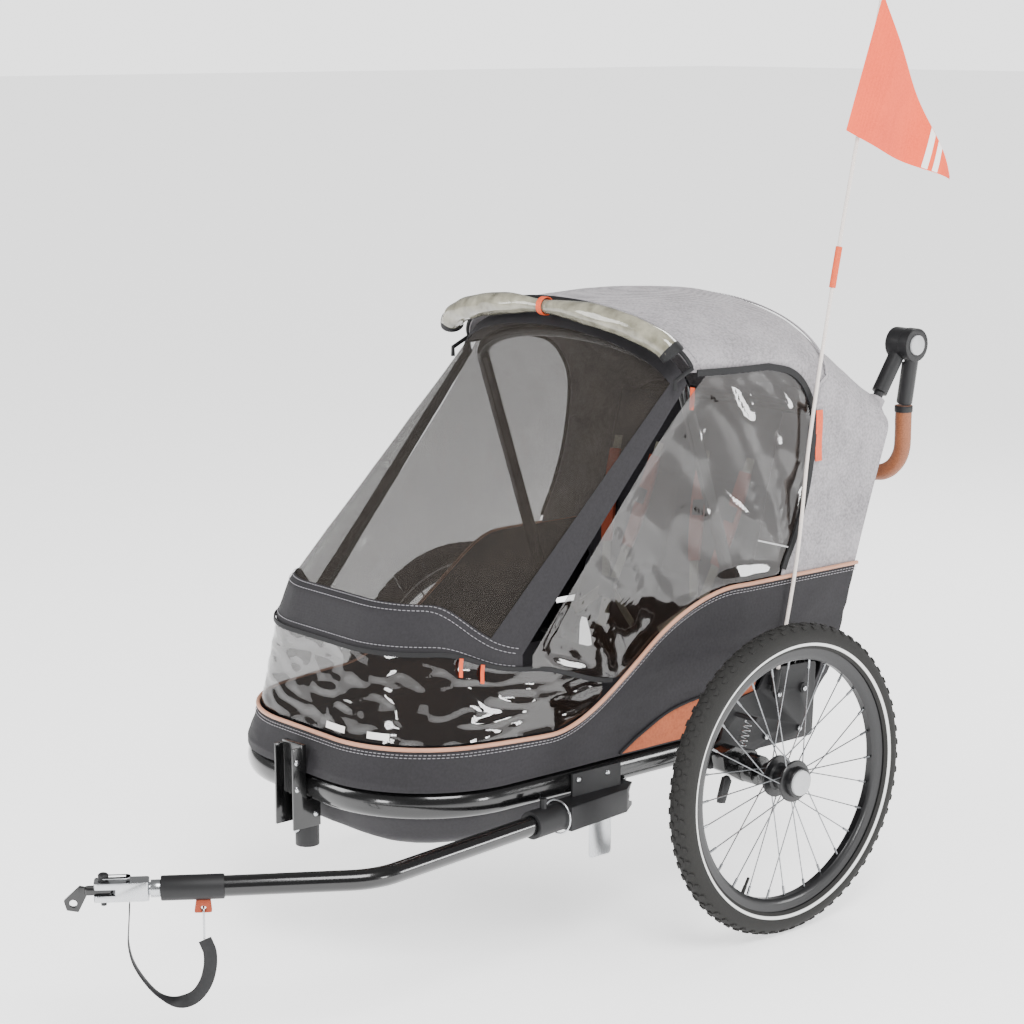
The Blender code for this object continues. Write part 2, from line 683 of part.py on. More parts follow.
def make_wheel(tag, side):
    """Tyre, rim, hub with spokes and push cap of one wheel."""
    centre = (side * WHEEL_X, 0, WHEEL_RADIUS)
    axis = (side, 0, 0)
    flat = 0.0128
    section = []
    for step in range(9):
        angle = math.radians(-48 + 276 * step / 8)
        section.append((TYRE_TUBE * math.cos(angle), TYRE_CENTRE + TYRE_TUBE * math.sin(angle)))
    section[0] = (flat, RIM_OUTER + GAP)
    section[-1] = (-flat, RIM_OUTER + GAP)
    turned(f"tyre_{tag}", section, centre, axis, "rubber", 44, loop=True)
    rim = [(0.0125, RIM_OUTER), (0.0105, RIM_OUTER - 0.010), (0.0065, RIM_INNER), (-0.0065, RIM_INNER)]
    rim += [(-0.0105, RIM_OUTER - 0.010), (-0.0125, RIM_OUTER)]
    turned(f"rim_{tag}", rim, centre, axis, "frame", 44, loop=True)
    bore = AXLE_RADIUS + RUN
    hub = [(-0.046, bore), (-0.046, 0.017), (-0.026, 0.018), (-0.024, 0.033), (-0.019, 0.033)]
    hub += [(-0.016, 0.020), (0.010, 0.020), (0.013, 0.033), (0.018, 0.033), (0.019, 0.0240)]
    hub += [(0.029, 0.0240), (0.029, 0.0212), (0.0195, 0.0212), (0.0195, bore)]
    shell = turned(f"hub_{tag}", hub, centre, axis, "plastic", 20, loop=True)
    spokes = [make_spoke(side, index) for index in range(SPOKES)]
    merged = join(spokes)
    combine(shell, [merged])
    cap = [(0.0238, 0.0205), (0.0310, 0.0205), (0.0330, 0.0180)]
    turned(f"hub_cap_{tag}", cap, centre, axis, "cap", 20)


def make_spoke(side, index):
    """One spoke from the hub flange to just inside the rim."""
    outer_row = index % 2
    flange_x = 0.0155 if outer_row else -0.0215
    lead = 0.42 if outer_row else -0.42
    angle = 2 * math.pi * index / SPOKES
    start_angle = angle + lead
    near = 0.029
    far = RIM_INNER - 0.0016
    start = Vector((flange_x, near * math.cos(start_angle), near * math.sin(start_angle)))
    end = Vector((0.002 * (1 if outer_row else -1), far * math.cos(angle), far * math.sin(angle)))
    shift = Vector((WHEEL_X, 0, WHEEL_RADIUS))
    start, end = start + shift, end + shift
    start.x *= side
    end.x *= side
    return rod("spoke", start, end, SPOKE_RADIUS, "steel", 4)


def join(items):
    """One object from several that don't touch."""
    shape = bmesh.new()
    for item in items:
        moved = item.data.copy()
        moved.transform(Matrix.Translation(item.location))
        shape.from_mesh(moved)
        bpy.data.meshes.remove(moved)
    mesh = items[0].data.copy()
    shape.to_mesh(mesh)
    shape.free()
    whole = bpy.data.objects.new("joined", mesh)
    bpy.context.scene.collection.objects.link(whole)
    for item in items:
        bpy.data.objects.remove(item, do_unlink=True)
    return whole


def make_suspension(tag, side):
    """Swing arm with its stub axle, brake lever and coil spring."""
    outline = [(-0.060, 0.284), (-0.054, 0.252), (-0.012, 0.228), (0.018, 0.228), (0.026, 0.250)]
    outline += [(0.018, 0.274), (-0.006, 0.279), (-0.030, 0.290)]
    low, high = sorted((side * (PLATE_X + 0.0135), side * (PLATE_X + 0.0395)))
    arm = plate(f"swing_arm_{tag}", rounded_outline(outline, 0.008), low, high, "frame", side_frame())
    y, z = ARM_PIVOT
    boss_start = (side * (PLATE_X + 0.0385), 0, WHEEL_RADIUS)
    boss_end = (side * (WHEEL_X - 0.058), 0, WHEEL_RADIUS)
    boss = rod("boss", boss_start, boss_end, 0.024, "frame", 18)
    inner, outer = (side * (WHEEL_X - 0.060), 0, WHEEL_RADIUS), (side * (WHEEL_X + 0.0190), 0, WHEEL_RADIUS)
    axle = rod("axle", inner, outer, AXLE_RADIUS, "frame", 14)
    combine(arm, [boss, axle])
    low, high = (side * PLATE_X, y, z), (side * (PLATE_X + 0.054), y, z)
    bore = rod("bore", low, high, AXLE_RADIUS + RUN, "frame", 14)
    combine(arm, [bore], "DIFFERENCE")
    lever = [(-0.052, 0.2475), (-0.046, 0.238), (-0.060, 0.204)]
    lever += [(-0.072, 0.206), (-0.072, 0.216), (-0.062, 0.246)]
    low, high = sorted((side * (PLATE_X + 0.040), side * (PLATE_X + 0.0475)))
    plate(f"brake_lever_{tag}", lever, low, high, "plastic", side_frame())
    make_spring(tag, side)


def make_spring(tag, side):
    """Coil spring between the plate's pin and the swing arm."""
    x = side * (PLATE_X + 0.033)
    top = Vector((x, 0.0045, 0.3235))
    bottom = Vector((x, -0.0105, 0.2850))
    axis = (bottom - top).normalized()
    across = axis.cross(Vector((1, 0, 0))).normalized()
    other = axis.cross(across)
    turns, steps = 5, 9
    rings = []
    for index in range(turns * steps + 1):
        angle = 2 * math.pi * index / steps
        radial = across * math.cos(angle) + other * math.sin(angle)
        centre = top.lerp(bottom, index / (turns * steps)) + radial * 0.0062
        rings.append([centre + radial * a + axis * b for a, b in circle(0.0012, 5)])
    return solid(f"spring_{tag}", rings, "steel")


# Front fittings


def make_nose_fittings():
    """Bracket on the nose, the round socket held between its two cheeks, and the release button."""
    face = placed((0, NOSE_Y - GAP, 0))
    body = block("nose_bracket", face, (-0.0245, -0.009, 0.262), (0.0245, 0.0, 0.344), "frame")
    extras = []
    for side in (-1, 1):
        low, high = sorted((side * 0.0205, side * 0.0245))
        extras.append(block("cheek", face, (low, -0.024, 0.262), (high, -0.001, 0.340), "frame"))
        extras.append(block("cheek", face, (low, -0.024, 0.212), (high, -0.0, 0.263), "frame"))
        extras.append(block("cheek", face, (low, -0.01, 0.212), (high, 0.026, 0.2552), "frame"))
    combine(body, extras)
    centre = Vector((0.0, NOSE_Y + 0.0175, 0.0))
    ring = [(0.0, 0.0140), (0.0, 0.0185), (0.0782, 0.0185), (0.0782, 0.0140)]
    socket = turned(
        "nose_socket", ring, centre + Vector((0, 0, 0.177)), (0, 0, 1), "plastic", 20, loop=True
    )
    lugs = []
    for side in (-1, 1):
        low, high = sorted((side * 0.0170, side * 0.0202))
        lugs.append(block("lug", placed(centre), (low, -0.006, 0.222), (high, 0.006, 0.244), "plastic"))
    combine(socket, lugs)
    front = centre + Vector((0, -0.0185, 0.204))
    hole = rod("hole", front - Vector((0, 0.01, 0)), front + Vector((0, 0.01, 0)), 0.0055, "steel", 12)
    combine(socket, [hole], "DIFFERENCE")
    tip = front - Vector((0, 0.006, 0))
    turned("socket_button", [(0, 0.0045), (0.001, 0.0052), (0.0098, 0.0052)], tip, (0, 1, 0), "steel", 12)


def make_receiver():
    """Tow-arm receiver under the rail: block, collar, rail plate, release tab and wire ring."""
    frame = placed(RECEIVER_CENTRE, RECEIVER_TOE)
    outline = [(-0.022, -0.060), (0.022, -0.060), (0.022, 0.070), (0.004, 0.104), (-0.022, 0.104)]
    body = plate("arm_receiver", outline, -0.021, 0.0165, "plastic", frame)
    ahead = frame.to_3x3() @ Vector((0, -1, 0))
    front = frame @ Vector((0, -0.128, 0))
    collar = rod("collar", front, frame @ Vector((0, -0.058, 0)), 0.0215, "plastic", 20)
    low, high = frame @ Vector((0, -0.100, 0.018)), frame @ Vector((0, -0.100, 0.036))
    screw = rod("screw", low, high, 0.0055, "plastic", 10)
    rail = placed((0, 0, 0))
    low = (BODY_HALF_WIDTH + GAP, -0.330, 0.246)
    strip = block("strip", rail, low, (BODY_HALF_WIDTH + 0.005, -0.230, 0.291), "plastic")
    combine(body, [collar, screw, strip])
    bore = rod("bore", front + ahead * 0.01, frame @ Vector((0, 0.12, 0)), TOW_TUBE + RUN, "plastic", 18)
    combine(body, [bore], "DIFFERENCE")
    tab_frame = placed((BODY_HALF_WIDTH + 0.016, -0.283, 0.0))
    tab_outline = rounded_outline(
        [(-0.022, 0.154), (0.022, 0.154), (0.022, 0.2165), (-0.022, 0.2165)], 0.006
    )
    upright = tab_frame @ side_frame()
    tab = plate("receiver_tab", tab_outline, -0.0015, 0.0015, "steel", upright)
    shift_origin(tab, (BODY_HALF_WIDTH + 0.016, -0.283, 0.214))
    centre = frame @ Vector((0, -0.068, 0))
    section = [(0.0262 + a, b) for a, b in circle(0.0016, 6)]
    ring = []
    side = frame.to_3x3() @ Vector((1, 0, 0))
    for step in range(20):
        angle = 2 * math.pi * step / 20
        radial = side * math.cos(angle) + Vector((0, 0, 1)) * math.sin(angle)
        ring.append([centre + radial * a + ahead * b for a, b in section])
    band = solid("receiver_ring", ring, "steel", loop=True)
    shift_origin(band, centre + Vector((0, 0, 0.0262)))


def shift_origin(item, origin):
    """Move the object's origin without moving its shape."""
    change = Vector(origin) - item.location
    item.data.transform(Matrix.Translation(-change))
    item.location = origin


def make_tow_arm():
    """Bent tow tube from inside the receiver to the hitch sleeve."""
    frame = placed(RECEIVER_CENTRE, RECEIVER_TOE)
    inner = frame @ Vector((0, 0.085, 0))
    hitch = placed(HITCH_START, -HITCH_TURN)
    corner = frame @ Vector((0, -ARM_REACH, 0))
    path = rounded([inner, corner, HITCH_START], 0.10, 6)
    arm = sweep("tow_arm", path, circle(TOW_TUBE, 14), "frame")
    sleeve = rod(
        "sleeve", hitch @ Vector((0, 0.004, 0)), hitch @ Vector((0, -0.084, 0)), 0.0175, "frame", 16
    )
    combine(arm, [sleeve])
    hole = rod(
        "hole", hitch @ Vector((0, -0.050, 0)), hitch @ Vector((0, -0.1, 0)), 0.009 + RUN, "frame", 14
    )
    combine(arm, [hole], "DIFFERENCE")


def make_hitch():
    """Coupler, its drop pin and wire bail, and the slotted link that bolts to a bicycle's axle."""
    frame = placed(HITCH_START, -HITCH_TURN)
    start = frame @ Vector((0, -0.052, 0))
    coupler = rod("coupler", start, frame @ Vector((0, -0.104, 0)), 0.009, "steel", 14)
    ring = rod("ring", frame @ Vector((0, -0.0845, 0)), frame @ Vector((0, -0.098, 0)), 0.0125, "steel", 16)
    outline = rounded_outline(
        [(-0.0145, -0.100), (0.0145, -0.100), (0.0145, -0.176), (-0.0145, -0.176)], 0.005
    )
    body = plate("body", outline, -0.0135, 0.0135, "steel", frame)
    combine(coupler, [ring, body])
    slot = block("slot", frame, (-0.03, -0.2, -0.0045), (0.03, -0.146, 0.0045), "steel")
    hole = rod(
        "hole", frame @ Vector((0, -0.163, -0.03)), frame @ Vector((0, -0.163, 0.03)), 0.0043, "steel", 14
    )
    combine(coupler, [slot, hole], "DIFFERENCE")
    shift_origin(coupler, frame @ Vector((0, -0.052, 0)))
    pin_at = frame @ Vector((0, -0.163, 0))
    tongue = rounded_outline([(-0.009, -0.150), (0.009, -0.150), (0.009, -0.189), (-0.009, -0.189)], 0.005)
    bracket = plate("axle_bracket", tongue, -0.0042, 0.0042, "frame", frame)
    link = [(-0.1850, 0.0040), (-0.1850, -0.0040), (-0.198, -0.0300), (-0.214, -0.0270), (-0.218, -0.0130)]
    link += [(-0.196, 0.0070)]
    side_on = frame @ side_frame()
    cheek = plate("cheek", rounded_outline(link, 0.002), -0.003, 0.003, "frame", side_on)
    combine(bracket, [cheek])
    eye_at = (-0.205, -0.0175)
    eye = rod("eye", frame @ Vector((-0.02, *eye_at)), frame @ Vector((0.02, *eye_at)), 0.0055, "frame", 14)
    bore = rod("bore", pin_at - Vector((0, 0, 0.02)), pin_at + Vector((0, 0, 0.02)), 0.0043, "frame", 14)
    combine(bracket, [eye, bore], "DIFFERENCE")
    shift_origin(bracket, pin_at)
    profile = [(-0.022, 0.004), (0.0138, 0.004), (0.0138, 0.0075), (0.0225, 0.0075), (0.0245, 0.005)]
    pin = turned("hitch_pin", profile, pin_at, (0, 0, 1), "frame", 14)
    shift_origin(pin, pin_at)
    make_bail(frame)


def make_bail(frame):
    """Wire bail hinged on the drop pin's head, lying back over the coupler."""
    path = [(0.0088, -0.163, 0.0185), (0.0088, -0.126, 0.0185)]
    path += [(-0.0088, -0.126, 0.0185), (-0.0088, -0.163, 0.0185)]
    world = [frame @ Vector(point) for point in path]
    bail = sweep("pin_bail", rounded(world, 0.006, 3), circle(0.0010, 6), "steel")
    shift_origin(bail, frame @ Vector((0, -0.163, 0.0185)))


def make_strap():
    """Fabric loop under the sleeve and the snap hook that hangs through it."""
    frame = placed(HITCH_START, -HITCH_TURN)
    upright = frame @ Matrix.Translation((0, -0.026, 0)) @ side_frame()
    loop = rounded_outline(
        [(-0.013, -0.0365), (0.012, -0.0365), (0.010, -0.0178), (-0.010, -0.0178)], 0.002, 2
    )
    tab = plate("strap_loop", loop, -0.0045, 0.0045, "rust", upright)
    right, left = frame @ Vector((-0.02, -0.026, -0.0305)), frame @ Vector((0.02, -0.026, -0.0305))
    eye = rod("eye", right, left, 0.004, "rust", 12)
    combine(tab, [eye], "DIFFERENCE")
    across = frame @ Matrix(((1, 0, 0, 0), (0, 0, 1, -0.026), (0, 1, 0, 0), (0, 0, 0, 1)))
    outer = [(-0.0078, -0.0760), (0.0078, -0.0760), (0.0078, -0.0285), (-0.0078, -0.0285)]
    hook = plate("snap_hook", rounded_outline(outer, 0.006, 3), -0.0014, 0.0014, "steel", across)
    eyes = []
    for low, high in ((-0.0520, -0.0312), (-0.0735, -0.0600)):
        hollow = [(-0.0054, low), (0.0054, low), (0.0054, high), (-0.0054, high)]
        eyes.append(plate("eye", rounded_outline(hollow, 0.003, 2), -0.01, 0.01, "steel", across))
    return combine(hook, eyes, "DIFFERENCE")


def make_strap_cord():
    """Flat webbing strap hanging from the coupler's underside up to the snap hook."""
    frame = placed(HITCH_START, -HITCH_TURN)
    side_view = [(-0.128, -0.0205), (-0.1285, -0.034), (-0.130, -0.055), (-0.131, -0.080), (-0.125, -0.108)]
    side_view += [(-0.110, -0.135), (-0.092, -0.156), (-0.072, -0.167), (-0.053, -0.167), (-0.037, -0.158)]
    side_view += [
        (-0.025, -0.140), (-0.019, -0.118), (-0.0185, -0.098), (-0.022, -0.086), (-0.0255, -0.0775)
    ]
    curve = bpy.data.curves.new("safety_strap", "CURVE")
    curve.dimensions = "3D"
    curve.twist_mode = "Z_UP"
    curve.extrude = 0.0095
    curve.bevel_depth = 0.0006
    curve.bevel_resolution = 0
    curve.use_fill_caps = True
    spline = curve.splines.new("POLY")
    points = smooth_path(side_view, 2)
    spline.points.add(len(points) - 1)
    for index, (target, (y, z)) in enumerate(zip(spline.points, points)):
        target.co = (*(frame @ Vector((0, y, z))), 1.0)
        target.tilt = math.radians(90) * smooth_step(0.42, 0.66, index / (len(points) - 1))
    item = bpy.data.objects.new("safety_strap", curve)
    bpy.context.scene.collection.objects.link(item)
    curve.materials.append(material("safety_strap", *LOOKS["black_fabric"]))
    return item


def smooth_path(points, rounds):
    """Corner-cutting of an open path that keeps both ends."""
    for _ in range(rounds):
        cut = [points[0]]
        for (a, b), (c, d) in zip(points, points[1:]):
            cut.append((0.75 * a + 0.25 * c, 0.75 * b + 0.25 * d))
            cut.append((0.25 * a + 0.75 * c, 0.25 * b + 0.75 * d))
        cut.append(points[-1])
        points = cut
    return points


# Push handle


def make_push_handle():
    """Posts on the rear hoop, grommets, rotary joints, arms, grip bar and buttons."""
    y, z = HANDLE_AXIS
    for tag, side in (("left", 1), ("right", -1)):
        foot = Vector((side * HANDLE_X, 0.3476, 0.757))
        post = rod(f"handle_post_{tag}", foot, (side * HANDLE_X, y, z), 0.0085, "frame", 12)
        sleeve_end = foot.lerp(Vector((side * HANDLE_X, y, z)), 0.40)
        sleeve = rod("sleeve", sleeve_end, (side * HANDLE_X, y, z), 0.0135, "frame", 14)
        inner, outer = (side * (HANDLE_X - 0.014), y, z), (side * (HANDLE_X + 0.0138), y, z)
        disc = rod("disc", inner, outer, 0.027, "frame", 22)
        stub = rod(
            "stub", (side * HANDLE_X, 0.3250, 0.768), (side * HANDLE_X, 0.354, 0.768), 0.006, "frame", 12
        )
        combine(post, [sleeve, disc, stub])
        slope = Vector((0, y - HANDLE_FOOT[0], z - HANDLE_FOOT[1]))
        lip = Vector((side * HANDLE_X, *HANDLE_FOOT)) + slope.normalized() * 0.010
        ring = [(0.0, 0.0093), (0.0, 0.017), (0.004, 0.016), (0.008, 0.0115), (0.008, 0.0093)]
        turned(f"grommet_{tag}", ring, lip, slope, "leather", 16, loop=True)
        face = side * (HANDLE_X + 0.0141)
        arm = rod(f"handle_arm_{tag}", (face, y, z), (face + side * 0.019, y, z), 0.028, "frame", 22)
        middle = face + side * 0.0095
        lower = rod("lower", (middle, y, z), (side * (HANDLE_X - 0.002), 0.450, 0.7850), 0.0135, "frame", 14)
        combine(arm, [lower])
        keep_out = rod("keep", (side * (HANDLE_X - 0.043), y, z), (face, y, z), 0.031, "frame", 22)
        pocket = rod("pocket", (face + side * 0.010, y, z), (face + side * 0.03, y, z), 0.0172, "frame", 20)
        combine(arm, [keep_out, pocket], "DIFFERENCE")
        shift_origin(arm, (face, y, z))
        button = [(0.0145, 0.0168), (0.0215, 0.0168), (0.0225, 0.0150)]
        turned(f"handle_button_{tag}", button, (face, y, z), (side, 0, 0), "cap", 20)
    corner = HANDLE_X - 0.003
    path = [(corner, 0.450, 0.7805), (corner, 0.450, HANDLE_BAR_Z), (-corner, 0.450, HANDLE_BAR_Z)]
    path.append((-corner, 0.450, 0.7805))
    grip = sweep("grip_bar", rounded(path, 0.075, 6), circle(0.0145, 12), "leather", up=(0, 1, 0))
    return grip


# Flag


def make_flag():
    """Socket on the side plate and the jointed pole with its ferrule."""
    foot = Vector((FLAG_X, 0.0796, 0.360))
    route = [foot, (FLAG_X, 0.125, 0.566), (FLAG_X, 0.149, 0.76), (FLAG_X, 0.193, 0.998)]
    route += [(FLAG_X, 0.249, 1.257), (FLAG_X, 0.302, 1.497)]
    pole = sweep("flag_pole", route, circle(0.0032, 8), "white", up=(1, 0, 0))
    axis = (Vector(route[1]) - foot).normalized()
    cup = turned("pole_socket", [(0.0, 0.0062), (0.037, 0.0062)], foot - axis * 0.004, axis, "plastic", 14)
    low_x = PLATE_X + PLATE_THICKNESS + GAP
    strap = block(
        "strap", Matrix.Identity(4), (low_x, 0.0770, 0.366), (FLAG_X - 0.003, 0.0870, 0.380), "plastic"
    )
    combine(cup, [strap])
    bore = rod("bore", foot - axis * 0.0004, foot + axis * 0.05, 0.0036, "plastic", 10)
    combine(cup, [bore], "DIFFERENCE")
    above, below = Vector(route[4]), Vector(route[3])
    along = (above - below).normalized()
    ring = [(0.0, 0.0035), (0.0, 0.0055), (0.066, 0.0055), (0.066, 0.0035)]
    turned("pole_ferrule", ring, below + along * 0.004, along, "orange", 12, loop=True)
    return pole


def make_pennant():
    """Triangular flag hanging from the top of the pole."""
    x = FLAG_X
    hoist_low, hoist_high = Vector((x + 0.0042, 0.213, 1.250)), Vector((x + 0.0042, 0.2925, 1.462))
    tip = Vector((x + 0.0300, 0.442, 1.164))
    columns = []
    for step in range(7):
        share = step / 6
        sag = Vector((0.010 * share * math.sin(3 * math.pi * share), 0, -0.006 * math.sin(math.pi * share)))
        low = hoist_low.lerp(tip, share * 0.985) + sag
        high = hoist_high.lerp(tip, share * 0.985) + sag
        column = []
        for row in range(3):
            point = low.lerp(high, row / 2)
            column.append((point, point + Vector((0.0008, 0, 0))))
        columns.append(column)
    return patch("flag", columns, 0.0008, "orange")


def main():
    clear_scene()
    make_lower_frame()
    make_cross_tubes()
    for tag, side in (("left", 1), ("right", -1)):
        make_side_plate(f"side_plate_{tag}", side)
        make_wheel(tag, side)
        make_suspension(tag, side)
        make_side_window(f"side_window_{tag}", side)
    make_tub()
    make_seats()
    make_canopy()
    make_front_window()
    make_front_cover()
    make_rain_roll()
    make_hoop("front_hoop", FRONT_HOOP_X, FRONT_PIVOT, FRONT_HOOP_ANGLE, 0.540, 0.612, False)
    make_hoop("rear_hoop", REAR_HOOP_X, REAR_PIVOT, REAR_HOOP_ANGLE, 0.396, 0.456, True)
    make_nose_fittings()
    make_receiver()
    make_tow_arm()
    make_hitch()
    make_strap()
    make_strap_cord()
    make_push_handle()
    make_flag()
    make_pennant()


if __name__ == "__main__":
    main()
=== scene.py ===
"""Child bicycle trailer: fabric cabin, clear and mesh covers, spoked wheels, tow arm, push handle and flag.

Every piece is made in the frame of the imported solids: metres, +Z up, -Y to the front, +X to the left side.
"""

from __future__ import annotations

import json
import logging
import math
from dataclasses import dataclass
from enum import Enum
from typing import Callable, Sequence

import bmesh
import bpy
from mathutils import Matrix, Vector, noise


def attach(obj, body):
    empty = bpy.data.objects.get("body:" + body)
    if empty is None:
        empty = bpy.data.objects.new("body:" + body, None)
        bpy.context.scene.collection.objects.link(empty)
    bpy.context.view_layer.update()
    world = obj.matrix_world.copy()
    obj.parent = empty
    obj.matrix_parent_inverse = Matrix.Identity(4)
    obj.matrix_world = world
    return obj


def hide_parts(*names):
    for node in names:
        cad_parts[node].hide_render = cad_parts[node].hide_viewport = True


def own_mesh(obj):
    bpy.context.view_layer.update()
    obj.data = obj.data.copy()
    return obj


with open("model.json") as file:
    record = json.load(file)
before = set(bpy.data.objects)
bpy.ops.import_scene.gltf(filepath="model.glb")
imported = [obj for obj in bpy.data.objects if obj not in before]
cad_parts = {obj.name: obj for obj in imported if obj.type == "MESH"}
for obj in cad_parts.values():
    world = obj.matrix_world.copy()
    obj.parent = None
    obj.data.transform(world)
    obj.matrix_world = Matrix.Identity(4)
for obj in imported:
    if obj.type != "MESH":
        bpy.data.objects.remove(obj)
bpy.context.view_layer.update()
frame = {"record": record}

LOG = logging.getLogger("trailer")
Point = Sequence[float]
MM = 0.001


# Small tools for shapes


def between(points: Sequence[Point], value: float) -> float:
    """Return the height of a line through (along, height) points, level beyond its ends."""
    for (a0, b0), (a1, b1) in zip(points, points[1:]):
        if a0 <= value <= a1:
            return b0 + (b1 - b0) * (value - a0) / (a1 - a0)
    return points[0][1] if value < points[0][0] else points[-1][1]


def smooth_step(low: float, high: float, value: float) -> float:
    """Return an ease from 0 at low to 1 at high."""
    t = min(max((value - low) / (high - low), 0.0), 1.0)
    return t * t * (3 - 2 * t)


def spread(low: float, high: float, count: int) -> list[float]:
    """Return count evenly spaced values from low to high."""
    return [low + (high - low) * step / (count - 1) for step in range(count)]


def new_object(name: str, points: Sequence[Point], faces: Sequence[Sequence[int]]) -> bpy.types.Object:
    """Make a mesh object at the origin and link it.

    Args:
        name: The piece's name.
        points: Vertex places in metres.
        faces: Vertex indices of each face.

    Returns:
        The linked object.
    """
    mesh = bpy.data.meshes.new(name)
    mesh.from_pydata([tuple(point) for point in points], [], faces)
    item = bpy.data.objects.new(name, mesh)
    bpy.context.scene.collection.objects.link(item)
    return item


def grid(name: str, rows: Sequence[Sequence[Vector]], closed: bool = False) -> bpy.types.Object:
    """Make a sheet of quads from rows of points, with UVs that measure metres along it.

    Args:
        name: The piece's name.
        rows: Equal rows of points.
        closed: Whether each row joins end to start.

    Returns:
        The sheet.
    """
    count = len(rows[0])
    faces = []
    spans = count if closed else count - 1
    for row in range(len(rows) - 1):
        for step in range(spans):
            after = (step + 1) % count
            faces.append(
                (row * count + step, row * count + after, (row + 1) * count + after, (row + 1) * count + step)
            )
    item = new_object(name, [point for row in rows for point in row], faces)
    middle = rows[len(rows) // 2]
    along = [0.0]
    for a, b in zip(middle, middle[1:]):
        along.append(along[-1] + (Vector(b) - Vector(a)).length)
    across = [0.0]
    for a, b in zip(rows, rows[1:]):
        across.append(across[-1] + (Vector(b[count // 2]) - Vector(a[count // 2])).length)
    layer = item.data.uv_layers.new(name="UVMap")
    for loop in item.data.loops:
        row, step = divmod(loop.vertex_index, count)
        layer.data[loop.index].uv = (along[step], across[row])
    return item


def edit(item: bpy.types.Object, work: Callable[[bmesh.types.BMesh], None]) -> bpy.types.Object:
    """Run one bmesh job on an object's mesh and return the object."""
    shape = bmesh.new()
    shape.from_mesh(item.data)
    work(shape)
    shape.to_mesh(item.data)
    shape.free()
    item.data.update()
    return item


def face_away(item: bpy.types.Object, centre: Point) -> bpy.types.Object:
    """Turn a sheet's faces so that most of them look away from a point."""
    middle = Vector(centre)
    score = sum((face.center - middle).dot(face.normal) * face.area for face in item.data.polygons)
    if score < 0:
        item.data.flip_normals()
    return item


def outward(item: bpy.types.Object) -> bpy.types.Object:
    """Turn a closed piece's faces outwards."""
    return edit(item, lambda shape: bmesh.ops.recalc_face_normals(shape, faces=shape.faces))


def baked(item: bpy.types.Object) -> bpy.types.Object:
    """Swap an object's live modifiers for the plain mesh that they make."""
    bpy.context.view_layer.update()
    graph = bpy.context.evaluated_depsgraph_get()
    mesh = bpy.data.meshes.new_from_object(item.evaluated_get(graph))
    if item.type == "MESH":
        item.modifiers.clear()
        item.data = mesh
        return item
    name = item.name
    bpy.data.objects.remove(item, do_unlink=True)
    made = bpy.data.objects.new(name, mesh)
    bpy.context.scene.collection.objects.link(made)
    return made


def modified(item: bpy.types.Object, kind: str, **settings: object) -> bpy.types.Object:
    """Apply one modifier of a kind with its settings."""
    made = item.modifiers.new(kind.title(), kind)
    for key, value in settings.items():
        setattr(made, key, value)
    return baked(item)


def thickened(item: bpy.types.Object, thickness: float) -> bpy.types.Object:
    """Give a sheet its wall, grown inwards from its face."""
    return modified(item, "SOLIDIFY", thickness=thickness, offset=-1.0, use_even_offset=False)


def smoothed(item: bpy.types.Object, degrees: float = 38.0) -> bpy.types.Object:
    """Shade smooth, with edges sharper than an angle kept crisp."""
    item.data.shade_smooth()
    item.data.set_sharp_from_angle(angle=math.radians(degrees))
    return item


def pushed(item: bpy.types.Object, depth: Callable[[Vector, Vector], float]) -> bpy.types.Object:
    """Move each vertex along its normal by a depth worked out from its place and normal."""
    places = [vertex.co.copy() for vertex in item.data.vertices]
    normals = [vertex.normal.copy() for vertex in item.data.vertices]
    for vertex, place, normal in zip(item.data.vertices, places, normals):
        vertex.co = place + normal * depth(place, normal)
    item.data.update()
    return item


def crease(place: Vector, size: float, stretch: Point = (1, 1, 1), seed: float = 0.0) -> float:
    """Return ridged cloth noise from -1 to 1: soft valleys between sharper folds.

    Args:
        place: The point on the cloth.
        size: The folds' width in metres.
        stretch: How much finer the folds are along each axis.
        seed: Shifts the pattern.

    Returns:
        The fold's height as a share.
    """
    spot = Vector((place.x * stretch[0], place.y * stretch[1], place.z * stretch[2])) / size
    spot += Vector((seed, seed * 1.7, -seed))
    return 1.0 - 2.0 * abs(noise.noise(spot)) ** 0.7 - 0.35 + 0.35 * noise.noise(spot * 2.3)


def cut_away(
    item: bpy.types.Object, cutter: bpy.types.Object, operation: str = "DIFFERENCE"
) -> bpy.types.Object:
    """Cut one closed piece with another and drop the cutter."""
    item = modified(item, "BOOLEAN", object=cutter, operation=operation, solver="EXACT")
    bpy.data.objects.remove(cutter, do_unlink=True)
    return item


def prism(name: str, outline: Sequence[Point], low: float, high: float, matrix: Matrix) -> bpy.types.Object:
    """Make a closed prism from an outline drawn between two heights in a frame."""
    count = len(outline)
    points = [matrix @ Vector((x, y, z)) for z in (low, high) for x, y in outline]
    faces: list[tuple[int, ...]] = [
        (i, (i + 1) % count, count + (i + 1) % count, count + i) for i in range(count)
    ]
    faces += [tuple(range(count)), tuple(range(count, 2 * count))]
    return outward(new_object(name, points, faces))


def side_frame() -> Matrix:
    """Return the frame whose XY is the side view (Y, Z) and whose Z is the trailer's X."""
    return Matrix(((0, 0, 1, 0), (1, 0, 0, 0), (0, 1, 0, 0), (0, 0, 0, 1)))


